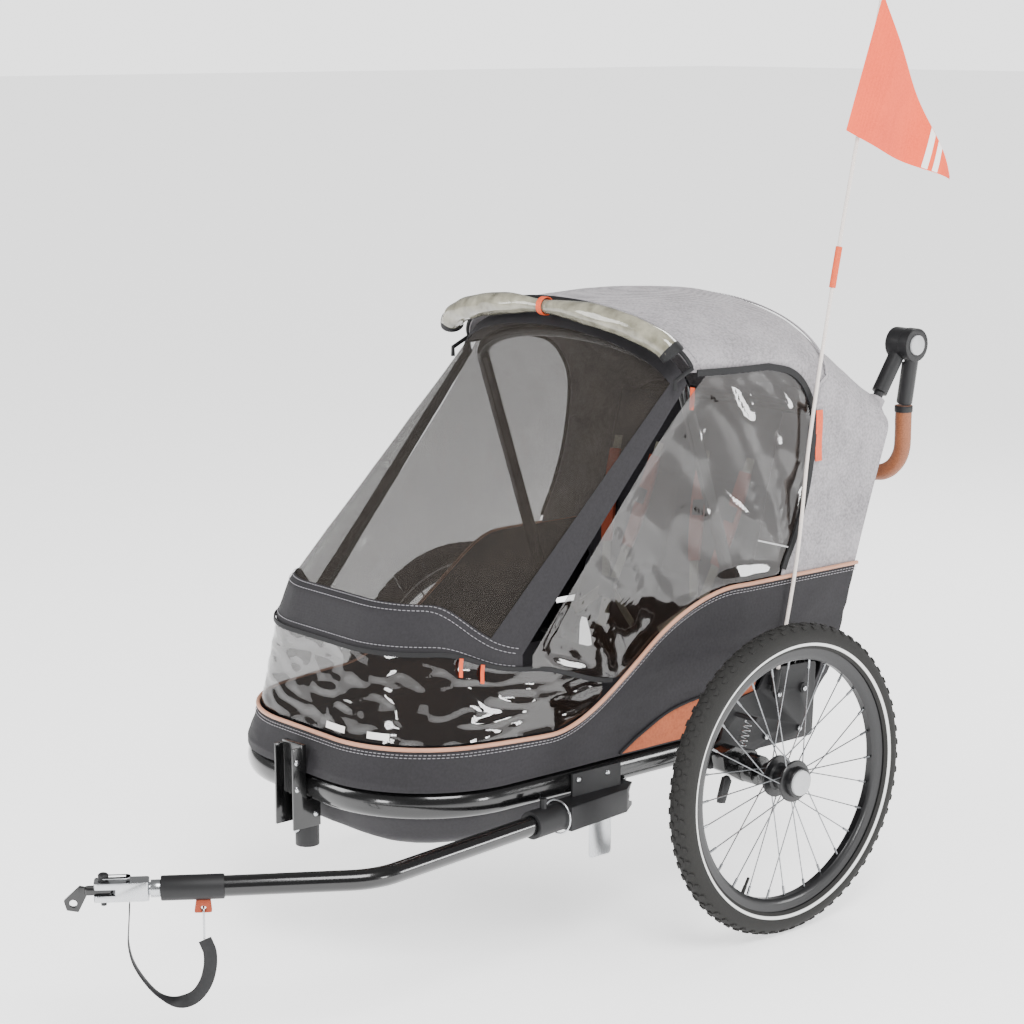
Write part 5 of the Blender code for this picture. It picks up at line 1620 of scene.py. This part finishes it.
@dataclass
class Wheel:
    """One 20-inch wheel: knobbly tyre, black rim, laced steel spokes, hub and push cap."""

    tag: str
    side: int
    track: float = 0.82
    radius: float = 0.25
    tube_radius: float = 0.0235
    spokes: int = 28
    knobs: int = 66

    @property
    def centre(self) -> Vector:
        """Return the wheel's middle."""
        return Vector((self.side * self.track / 2, 0, self.radius))

    @property
    def rim_outer(self) -> float:
        """Return the rim's outer radius."""
        return self.radius - self.tube_radius - 0.0144

    @property
    def rim_inner(self) -> float:
        """Return the rim's inner radius."""
        return self.rim_outer - 0.0205

    def build(self) -> None:
        """Make every piece of the wheel."""
        self.tyre()
        self.rim()
        self.hub()
        self.lacing()

    def turn(self, name: str, profile: Sequence[Point], steps: int = 96) -> bpy.types.Object:
        """Turn a closed (along, radius) profile about the axle."""
        return turned(name, profile, self.centre, (self.side, 0, 0), steps, ring=True)

    def tyre(self) -> None:
        """Make the carcass and four rows of knobs."""
        middle = self.radius - self.tube_radius
        carcass = self.tube_radius - 0.0022
        section = [(0.0126, self.rim_outer + 0.0006)]
        for angle in spread(-46, 226, 30):
            turn = math.radians(angle)
            section.append((carcass * math.cos(turn), middle + carcass * math.sin(turn)))
        section.append((-0.0126, self.rim_outer + 0.0006))
        body = f"wheel_{self.tag}"
        settle(
            self.turn(f"tyre_carcass_{self.tag}", section, 128),
            body,
            TYRE_RUBBER,
            [f"tyre_{self.tag}"],
        )
        rows = ((0.0048, 0.0105, 0.0062, 0.0), (-0.0048, 0.0105, 0.0062, 0.5))
        rows += ((0.0140, 0.0110, 0.0058, 0.25), (-0.0140, 0.0110, 0.0058, 0.75))
        for index, (offset, length, width, phase) in enumerate(rows):
            tilt = math.asin(offset / self.tube_radius)
            spot = Matrix.Rotation(
                2 * math.pi * phase / self.knobs, 4, "X"
            ) @ Matrix.Translation((0, 0, middle))
            spot = spot @ Matrix.Rotation(tilt, 4, "Y") @ Matrix.Translation((0, 0, carcass - 0.0006))
            outline = [
                (-width / 2, -length / 2), (width / 2, -length / 2 + 0.002), (width / 2, length / 2 - 0.002)
            ]
            outline += [(-width / 2, length / 2)]
            knob = prism("knob", outline, 0.0, 0.0026, spot)
            made = repeated_round(knob, self.knobs, TYRE_RUBBER, self.centre)
            made.name = f"tyre_knobs_{self.tag}_{index}"
            settle(made, body, TYRE_RUBBER)

    def rim(self) -> None:
        """Make the double-wall rim with its hooked edges and a valve stem."""
        outer, inner = self.rim_outer, self.rim_inner
        profile = [
            (0.0124, outer), (0.0126, outer - 0.002), (0.0116, outer - 0.0045), (0.0110, outer - 0.011)
        ]
        profile += [
            (0.0085, inner + 0.003),
            (0.0055, inner + 0.0004),
            (-0.0055, inner + 0.0004),
            (-0.0085, inner + 0.003),
        ]
        profile += [
            (-0.0110, outer - 0.011), (-0.0116, outer - 0.0045), (-0.0126, outer - 0.002), (-0.0124, outer)
        ]
        settle(
            self.turn(f"rim_hoop_{self.tag}", profile, 128),
            f"wheel_{self.tag}",
            BLACK_RIM,
            [f"rim_{self.tag}"],
        )
        axis = Vector((0, -0.5, -0.866))
        start = self.centre + axis * (inner + 0.001)
        stem = turned(
            f"valve_{self.tag}",
            [(0, 0.0030), (0.012, 0.0030), (0.013, 0.0024), (0.026, 0.0024), (0.027, 0.0015)],
            start,
            -axis,
            14,
        )
        settle(stem, f"wheel_{self.tag}", TYRE_RUBBER)

    def hub(self) -> None:
        """Make the hub shell, its flanges and the grey push cap."""
        profile = [(-0.046, 0.0064), (-0.046, 0.0160), (-0.044, 0.0172), (-0.027, 0.0180), (-0.0245, 0.0215)]
        profile += [
            (-0.0238, 0.0325), (-0.0225, 0.0334), (-0.0200, 0.0334), (-0.0188, 0.0325), (-0.0175, 0.0225)
        ]
        profile += [(-0.0145, 0.0192), (0.008, 0.0192), (0.0115, 0.0225), (0.0128, 0.0325), (0.0140, 0.0334)]
        profile += [(0.0165, 0.0334), (0.0178, 0.0325), (0.0188, 0.0245), (0.0280, 0.0238), (0.0290, 0.0228)]
        profile += [(0.0290, 0.0213), (0.0196, 0.0213), (0.0196, 0.0064)]
        shell = self.turn(f"hub_shell_{self.tag}", profile, 64)
        settle(shell, f"wheel_{self.tag}", BLACK_RIM, [f"hub_{self.tag}"])
        cap = [
            (0.0238, 0.0204),
            (0.0300, 0.0204),
            (0.0318, 0.0196),
            (0.0328, 0.0172),
            (0.0330, 0.0100),
            (0.0322, 0.0080),
        ]
        cap += [(0.0322, 0.0030)]
        item = turned(f"push_cap_{self.tag}", cap, self.centre, (self.side, 0, 0), 40)
        settle(item, f"hub_cap_{self.tag}", GREY_ACETAL, [f"hub_cap_{self.tag}"])

    def lacing(self) -> None:
        """Make the spokes with their nipples: two flanges, each with leading and trailing spokes."""
        each = self.spokes // 4
        for index in range(4):
            flange = 0.0152 if index % 2 else -0.0212
            lead = 0.42 if index < 2 else -0.42
            phase = 2 * math.pi * index / self.spokes
            start = Vector((flange, 0, 0.0300))
            start.rotate(Matrix.Rotation(lead, 3, "X"))
            end = Vector((0.0016 * (1 if index % 2 else -1), 0, self.rim_inner - 0.0004))
            wire = tube("wire", [start, end], circle(1.0 * MM, 6), up=(1, 0, 0))
            grip = tube("nipple", [end.lerp(start, 0.085), end], circle(2.0 * MM, 8), up=(1, 0, 0))
            both = merged("spoke", [wire, grip])
            both.data.transform(Matrix.Rotation(phase, 4, "X"))
            made = repeated_round(both, each, SPOKE_STEEL, self.centre, mirrored=self.side < 0)
            made.name = f"spokes_{self.tag}_{index}"
            settle(smoothed(made), f"wheel_{self.tag}", SPOKE_STEEL)


# Frame, arms and fittings


@dataclass
class Tubing:
    """The visible steel tubes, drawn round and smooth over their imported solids."""

    rail_wide: float = 0.024
    rail_tall: float = 0.040
    hoop_radius: float = 0.011

    def build(self) -> None:
        """Make the rail with its end plugs and both hoops."""
        back = 0.198
        plan = CABIN.plan(self.rail_wide / 2, back, sides=10, arc=40, front=4)
        path = [Vector((x, y, 0.276)) for (x, y), _ in plan]
        oval = circle(self.rail_wide / 2, 28, self.rail_tall / self.rail_wide)
        settle(tube("rail_tube", path, oval), Body.CHASSIS, BLACK_ENAMEL, ["lower_frame"])
        for side in (-1, 1):
            start = Vector((side * (0.268 - 0.012), back - 0.0005, 0.276))
            plug = tube(
                f"rail_plug_{side + 1}", [start, start + Vector((0, 0.0015, 0))], circle(0.0112, 24, 1.66)
            )
            settle(plug, Body.CHASSIS, BLACK_NYLON)
        self.hoop("front_hoop", 0.243, (0.098, 0.347), 108.7, 0.540, 0.612, False)
        self.hoop("rear_hoop", 0.272, (0.158, 0.347), 70.0, 0.396, 0.456, True)

    def hoop(
        self, name: str, half: float, pivot: Point, angle: float, straight: float, crown: float, square: bool
    ) -> None:
        """Make one cabin hoop.

        Args:
            name: The hoop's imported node.
            half: Half its width.
            pivot: Its pivot's (Y, Z).
            angle: Its lean in degrees.
            straight: Length of a straight leg.
            crown: Its height along the lean.
            square: Whether its top is straight with rounded corners.
        """
        turn = math.radians(angle)
        along = Vector((0, math.cos(turn), math.sin(turn)))
        base = Vector((0, *pivot))

        def spot(x: float, reach: float) -> Vector:
            return Vector((x, 0, 0)) + base + along * reach

        if square:
            corners = [spot(half, -0.012), spot(half, crown), spot(-half, crown), spot(-half, -0.012)]
            path = rounded(corners, crown - straight, 12)
        else:
            near = [spot(half, -0.012)]
            for step in range(25):
                swing = math.radians(90 * step / 24)
                near.append(spot(half * math.cos(swing), straight + (crown - straight) * math.sin(swing)))
            path = near + [Vector((-p.x, p.y, p.z)) for p in reversed(near[:-1])]
        item = tube(f"{name}_tube", path, circle(self.hoop_radius, 20), up=(0, 1, 0))
        settle(item, name, BLACK_ENAMEL, [name])


def placed(origin: Point, degrees: float) -> Matrix:
    """Return a frame turned about Z at a place."""
    return Matrix.Translation(origin) @ Matrix.Rotation(math.radians(degrees), 4, "Z")


@dataclass
class TowArm:
    """Bent tow tube with its sleeve, strap loop and hanging safety strap."""

    receiver: Point = (0.283, -0.310, 0.2385)
    receiver_turn: float = 7.2
    reach: float = 0.451
    hitch: Point = (0.217, -0.935, 0.2365)
    hitch_turn: float = -34.6
    tube_radius: float = 0.0149
    strap_width: float = 0.019
    strap_thickness: float = 1.3 * MM

    @property
    def tip(self) -> Matrix:
        """Return the hitch's frame, its -Y along the arm's last stretch."""
        return placed(self.hitch, self.hitch_turn)

    def build(self) -> None:
        """Make the arm, loop and strap."""
        start = placed(self.receiver, self.receiver_turn)
        inner, corner = start @ Vector((0, 0.085, 0)), start @ Vector((0, -self.reach, 0))
        path = rounded([inner, corner, self.hitch, self.tip @ Vector((0, -0.020, 0))], 0.10, 14)
        arm = tube("tow_tube", path, circle(self.tube_radius, 28))
        sleeve = [
            (0.0, 0.0152),
            (0.0008, 0.0172),
            (0.003, 0.0176),
            (0.086, 0.0176),
            (0.088, 0.0170),
            (0.088, 0.0092),
            (0.040, 0.0092),
        ]
        cover = turned(
            "sleeve", sleeve, self.tip @ Vector((0, 0.004, 0)), self.tip.to_3x3() @ Vector((0, -1, 0)), 36
        )
        settle(arm, Body.TOW_ARM, BLACK_ENAMEL, ["tow_arm"])
        cover.name = "tow_sleeve"
        settle(cover, Body.TOW_ARM, BLACK_NYLON)
        self.strap()

    def strap(self) -> None:
        """Make the safety strap and the loop that holds the snap hook."""
        side_view = [
            (-0.128, -0.0205), (-0.1285, -0.034), (-0.130, -0.055), (-0.131, -0.080), (-0.125, -0.108)
        ]
        side_view += [
            (-0.110, -0.135), (-0.092, -0.156), (-0.072, -0.167), (-0.053, -0.167), (-0.037, -0.158)
        ]
        side_view += [
            (-0.025, -0.140), (-0.019, -0.118), (-0.0185, -0.098), (-0.022, -0.086), (-0.0255, -0.0775)
        ]
        path = curved([self.tip @ Vector((0, y, z)) for y, z in side_view], 6)
        rows = []
        last = len(path) - 1
        across = self.tip.to_3x3() @ Vector((1, 0, 0))
        for index, spot in enumerate(path):
            ahead = (path[min(index + 1, last)] - path[max(index - 1, 0)]).normalized()
            turn = Matrix.Rotation(math.radians(90) * smooth_step(0.42, 0.66, index / last), 3, ahead)
            wide = turn @ across
            deep = ahead.cross(wide)
            section = band(self.strap_width, self.strap_thickness)
            rows.append([spot + wide * a + deep * b for a, b in section])
        item = grid("safety_webbing", rows, closed=True)
        count = len(rows[0])

        def close(shape: bmesh.types.BMesh) -> None:
            shape.verts.ensure_lookup_table()
            shape.faces.new([shape.verts[i] for i in range(count)])
            shape.faces.new([shape.verts[last * count + i] for i in range(count)])

        item = smoothed(outward(edit(item, close)), 50)
        settle(item, Body.TOW_ARM, STRAP_WEBBING, ["safety_strap"])



@dataclass
class PushHandle:
    """U-shaped push bar in tan leatherette on two black arms with round joints."""

    half: float = 0.2400
    y: float = 0.450
    bar_z: float = 0.657
    top_z: float = 0.7805
    radius: float = 0.0143

    def build(self) -> None:
        """Make the wrapped bar and its sewn seam."""
        path = [(self.half, self.y, self.top_z), (self.half, self.y, self.bar_z)]
        path += [(-self.half, self.y, self.bar_z), (-self.half, self.y, self.top_z)]
        line = rounded(path, 0.075, 16)
        fine = []
        for a, b in zip(line, line[1:]):
            steps = max(int((b - a).length / 0.006), 1)
            fine += [a.lerp(b, step / steps) for step in range(steps)]
        item = tube("push_bar_wrap", fine + [line[-1]], circle(self.radius, 24), up=(0, 1, 0))
        item = pushed(item, lambda p, n: 0.0003 * crease(p, 0.02, (1, 1, 1), 2.0) - 0.0002)
        settle(item, Body.PUSH_HANDLE, TAN_LEATHER, ["grip_bar"])
        seam = [p + Vector((0, 0.0143, 0)) for p in fine[4:-4]]
        settle(
            stitches("push_bar_stitches", seam, TAN_LEATHER, 0.006), Body.PUSH_HANDLE, TAN_LEATHER
        )
        for tag, side in (("left", 1), ("right", -1)):
            start = Vector((side * self.half, self.y, self.top_z + 0.0004))
            collar = turned(
                f"bar_collar_{tag}",
                [(0, 0.0150), (0.001, 0.0155), (0.010, 0.0155), (0.011, 0.0150)],
                start - Vector((0, 0, 0.012)),
                (0, 0, 1),
                28,
            )
            settle(collar, Body.PUSH_HANDLE, BLACK_NYLON)


@dataclass
class SafetyFlag:
    """Glass-fibre pole and the thin triangular flag that hangs from it."""

    x: float = 0.3035
    pole_radius: float = 3.1 * MM
    cloth: float = 0.5 * MM

    def build(self) -> None:
        """Make the pole, flag and pale stripes."""
        route = [
            (0.0796, 0.360), (0.125, 0.566), (0.149, 0.76), (0.193, 0.998), (0.249, 1.257), (0.302, 1.4968)
        ]
        path = curved([(self.x, y, z) for y, z in route], 10)
        settle(
            tube("pole_rod", path, circle(self.pole_radius, 14), up=(1, 0, 0)),
            Body.FLAG,
            GLASS_FIBRE,
            ["flag_pole"],
        )
        low, high = Vector((self.x + 0.0042, 0.213, 1.250)), Vector((self.x + 0.0042, 0.2925, 1.462))
        tip = Vector((self.x + 0.0300, 0.442, 1.164))

        def place(share: float, rise: float) -> Vector:
            sag = Vector(
                (0.010 * share * math.sin(3 * math.pi * share), 0, -0.006 * math.sin(math.pi * share))
            )
            wave = Vector((0.0016 * math.sin(9 * share + 3 * rise), 0, 0)) * share
            return low.lerp(tip, share * 0.985).lerp(high.lerp(tip, share * 0.985), rise) + sag + wave

        rows = [[place(share, rise) for share in spread(0.0, 1.0, 60)] for rise in spread(0.0, 1.0, 30)]
        item = face_away(grid("flag_cloth", rows), (0, 0.3, 1.3))
        item = smoothed(thickened(item, self.cloth), 70)
        settle(item, Body.FLAG, FLAG_NYLON, ["flag"])
        hung(rows)
        for index, (start, end) in enumerate(((0.70, 0.745), (0.78, 0.825))):
            rows = [
                [place(share, rise) + Vector((0.0006, 0, 0)) for share in spread(start, end, 6)]
                for rise in spread(0.02, 0.98, 14)
            ]
            stripe = face_away(grid(f"flag_stripe_{index}", rows), (0, 0.3, 1.3))
            settle(thickened(stripe, 0.0003), Body.FLAG, PALE_PRINT_AND_HIGHLIGHT)


@dataclass
class Hardware:
    """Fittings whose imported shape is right: each is merged, softly bevelled and dressed."""

    bevel: float = 0.5 * MM

    def build(self) -> None:
        """Dress every remaining node, each riding on its own body."""
        groups: dict[str, tuple[Finish, list[str]]] = {
            "frame_paint": (
                BLACK_ENAMEL,
                [
                    "rear_crossbar",
                    "axle_beam",
                    "swing_arm_left",
                    "swing_arm_right",
                    "nose_bracket",
                    "axle_bracket",
                ],
            ),
            "black_plastic": (
                BLACK_NYLON,
                [
                    "side_plate_left",
                    "side_plate_right",
                    "nose_socket",
                    "arm_receiver",
                    "handle_arm_left",
                    "handle_arm_right",
                ]
                + [
                    "handle_post_left",
                    "handle_post_right",
                    "brake_lever_left",
                    "brake_lever_right",
                    "pole_socket",
                    "hitch_pin",
                ],
            ),
            "steel": (
                ZINC_STEEL,
                [
                    "coupler",
                    "pin_bail",
                    "receiver_ring",
                    "receiver_tab",
                    "snap_hook",
                    "socket_button",
                    "spring_left",
                    "spring_right",
                ],
            ),
            "grey_cap": (GREY_ACETAL, ["handle_button_left", "handle_button_right"]),
            "ferrule_plastic": (ORANGE_TAB, ["pole_ferrule"]),
            "rust_fabric": (RUST_SUEDE, ["strap_loop"]),
            "tan_trim": (TAN_LEATHER, ["grommet_left", "grommet_right"]),
        }
        bodies = {
            node: body for body, nodes in frame["record"]["behaviour"]["bodies"].items() for node in nodes
        }
        for slot, (finish, nodes) in groups.items():
            for node in nodes:
                self.refine(node, bodies[node], slot, finish)
        self.rivets()

    def refine(self, node: str, body: str, slot: str, finish: Finish) -> None:
        """Merge a copy of a node's mesh, soften its edges and dress it."""
        source = bpy.data.objects[node]
        item = bpy.data.objects.new(f"{node}_{'steel' if slot == 'steel' else 'part'}", source.data.copy())
        bpy.context.scene.collection.objects.link(item)
        item.data.transform(source.matrix_world)

        def clean(shape: bmesh.types.BMesh) -> None:
            bmesh.ops.remove_doubles(shape, verts=shape.verts, dist=0.02 * MM)
            bmesh.ops.dissolve_limit(
                shape, angle_limit=math.radians(1.0), verts=shape.verts, edges=shape.edges
            )

        edit(item, clean)
        item = modified(
            item, "BEVEL", width=self.bevel, segments=2, limit_method="ANGLE", angle_limit=math.radians(40)
        )
        settle(smoothed(item, 42), body, finish, [node])

    def rivets(self) -> None:
        """Set bright rivet heads on the bracket, receiver, plates and handle arms."""
        spots = [
            ((0.0249, -0.668, 0.318), (1, 0, 0)),
            ((0.0249, -0.668, 0.276), (1, 0, 0)),
            ((0.0249, -0.634, 0.232), (1, 0, 0)),
        ]
        spots += [((0.2734, -0.318, 0.280), (1, 0, 0)), ((0.2734, -0.258, 0.280), (1, 0, 0))]
        for side in (-1, 1):
            spots += [
                ((side * 0.2955, 0.150, 0.280), (side, 0, 0)), ((side * 0.2955, 0.072, 0.280), (side, 0, 0))
            ]
            spots += [
                ((side * 0.2975, 0.098, 0.347), (side, 0, 0)), ((side * 0.2975, 0.158, 0.347), (side, 0, 0))
            ]
        heads = []
        for start, along in spots:
            profile = [(0.0, 0.0046), (0.0009, 0.0045), (0.0019, 0.0034), (0.0024, 0.0012)]
            heads.append(turned("rivet", profile, start, along, 18))
        settle(merged("frame_rivets", heads), Body.CHASSIS, ZINC_STEEL)


# Studio


@dataclass
class Studio:
    """Pale floor, soft lights and the camera."""

    target: Point = (0.095, -0.3, 0.6687)
    eye: Point = (3.0036, -2.7807, 1.4140)
    lens: float = 87.9
    sensor: float = 36.0
    floor_glow: float = 1.1

    def build(self) -> None:
        """Set the floor, lights, world and camera."""
        floor = new_object("floor", [(-60, -60, 0), (60, -60, 0), (60, 60, 0), (-60, 60, 0)], [(0, 1, 2, 3)])
        paper = FLOOR_PAPER.build()
        paper.node_tree.nodes["Principled BSDF"].inputs["Emission Strength"].default_value = self.floor_glow
        paper.node_tree.nodes["Principled BSDF"].inputs["Emission Color"].default_value = (1, 1, 1, 1)
        floor.data.materials.append(paper)
        floor.data.transform(Matrix.Translation((0, 0, -0.0006)))
        self.surround()
        self.softbox("key", (2.2, -1.2, 3.2), 1.6, 130)
        self.softbox("fill", (-2.0, -2.9, 2.0), 1.4, 60)
        self.softbox("back", (-0.8, 3.0, 2.8), 1.6, 70)
        self.softbox("strip_rear", (2.8, 2.3, 0.9), 0.7, 34)
        self.softbox("strip_side", (3.4, 0.2, 0.7), 0.5, 20)
        self.softbox("strip_front", (0.9, -4.2, 0.9), 0.7, 34)
        data = bpy.data.cameras.new("camera")
        data.lens, data.sensor_width = self.lens, self.sensor
        camera = bpy.data.objects.new("camera", data)
        camera.location = self.eye
        ahead = Vector(self.target) - Vector(self.eye)
        camera.rotation_euler = ahead.to_track_quat("-Z", "Y").to_euler()
        bpy.context.scene.collection.objects.link(camera)
        bpy.context.scene.camera = camera

    def surround(self) -> None:
        """Set a white backdrop that lights evenly and shows only faintly in glossy surfaces."""
        world = bpy.data.worlds.new("studio")
        world.use_nodes = True
        tree = world.node_tree
        rays = add_node(tree, "ShaderNodeLightPath")
        seen = add_node(
            tree,
            "ShaderNodeMapRange",
            {"To Min": 1.0, "To Max": 2.4},
            {"Value": rays.outputs["Is Camera Ray"]},
        )
        dim = add_node(
            tree,
            "ShaderNodeMapRange",
            {"To Min": 1.0, "To Max": 0.3},
            {"Value": rays.outputs["Is Glossy Ray"]},
        )
        level = add_node(
            tree, "ShaderNodeMath", {"operation": "MULTIPLY"}, {0: seen.outputs[0], 1: dim.outputs[0]}
        )
        tree.nodes["Background"].inputs[0].default_value = (1, 1, 1, 1)
        tree.links.new(level.outputs[0], tree.nodes["Background"].inputs[1])
        bpy.context.scene.world = world

    def softbox(self, name: str, place: Point, size: float, power: float) -> None:
        """Hang one square softbox that faces the cabin."""
        data = bpy.data.lights.new(name, "AREA")
        data.energy, data.size = power, size
        lamp = bpy.data.objects.new(name, data)
        lamp.location = place
        lamp.rotation_euler = (Vector((0, -0.1, 0.45)) - Vector(place)).to_track_quat("-Z", "Y").to_euler()
        bpy.context.scene.collection.objects.link(lamp)


def main() -> None:
    """Build the trailer's classes in order."""
    logging.basicConfig(level=logging.INFO, format="%(message)s")
    Studio().build()
    Hardware().build()
    TowArm().build()
    Tubing().build()
    for tag, side in (("left", 1), ("right", -1)):
        Wheel(tag, side).build()
    FabricTub().build()
    Canopy().build()
    Covers().build()
    Seats().build()
    PushHandle().build()
    SafetyFlag().build()


if __name__ == "__main__":
    main()
    bpy.context.view_layer.update()
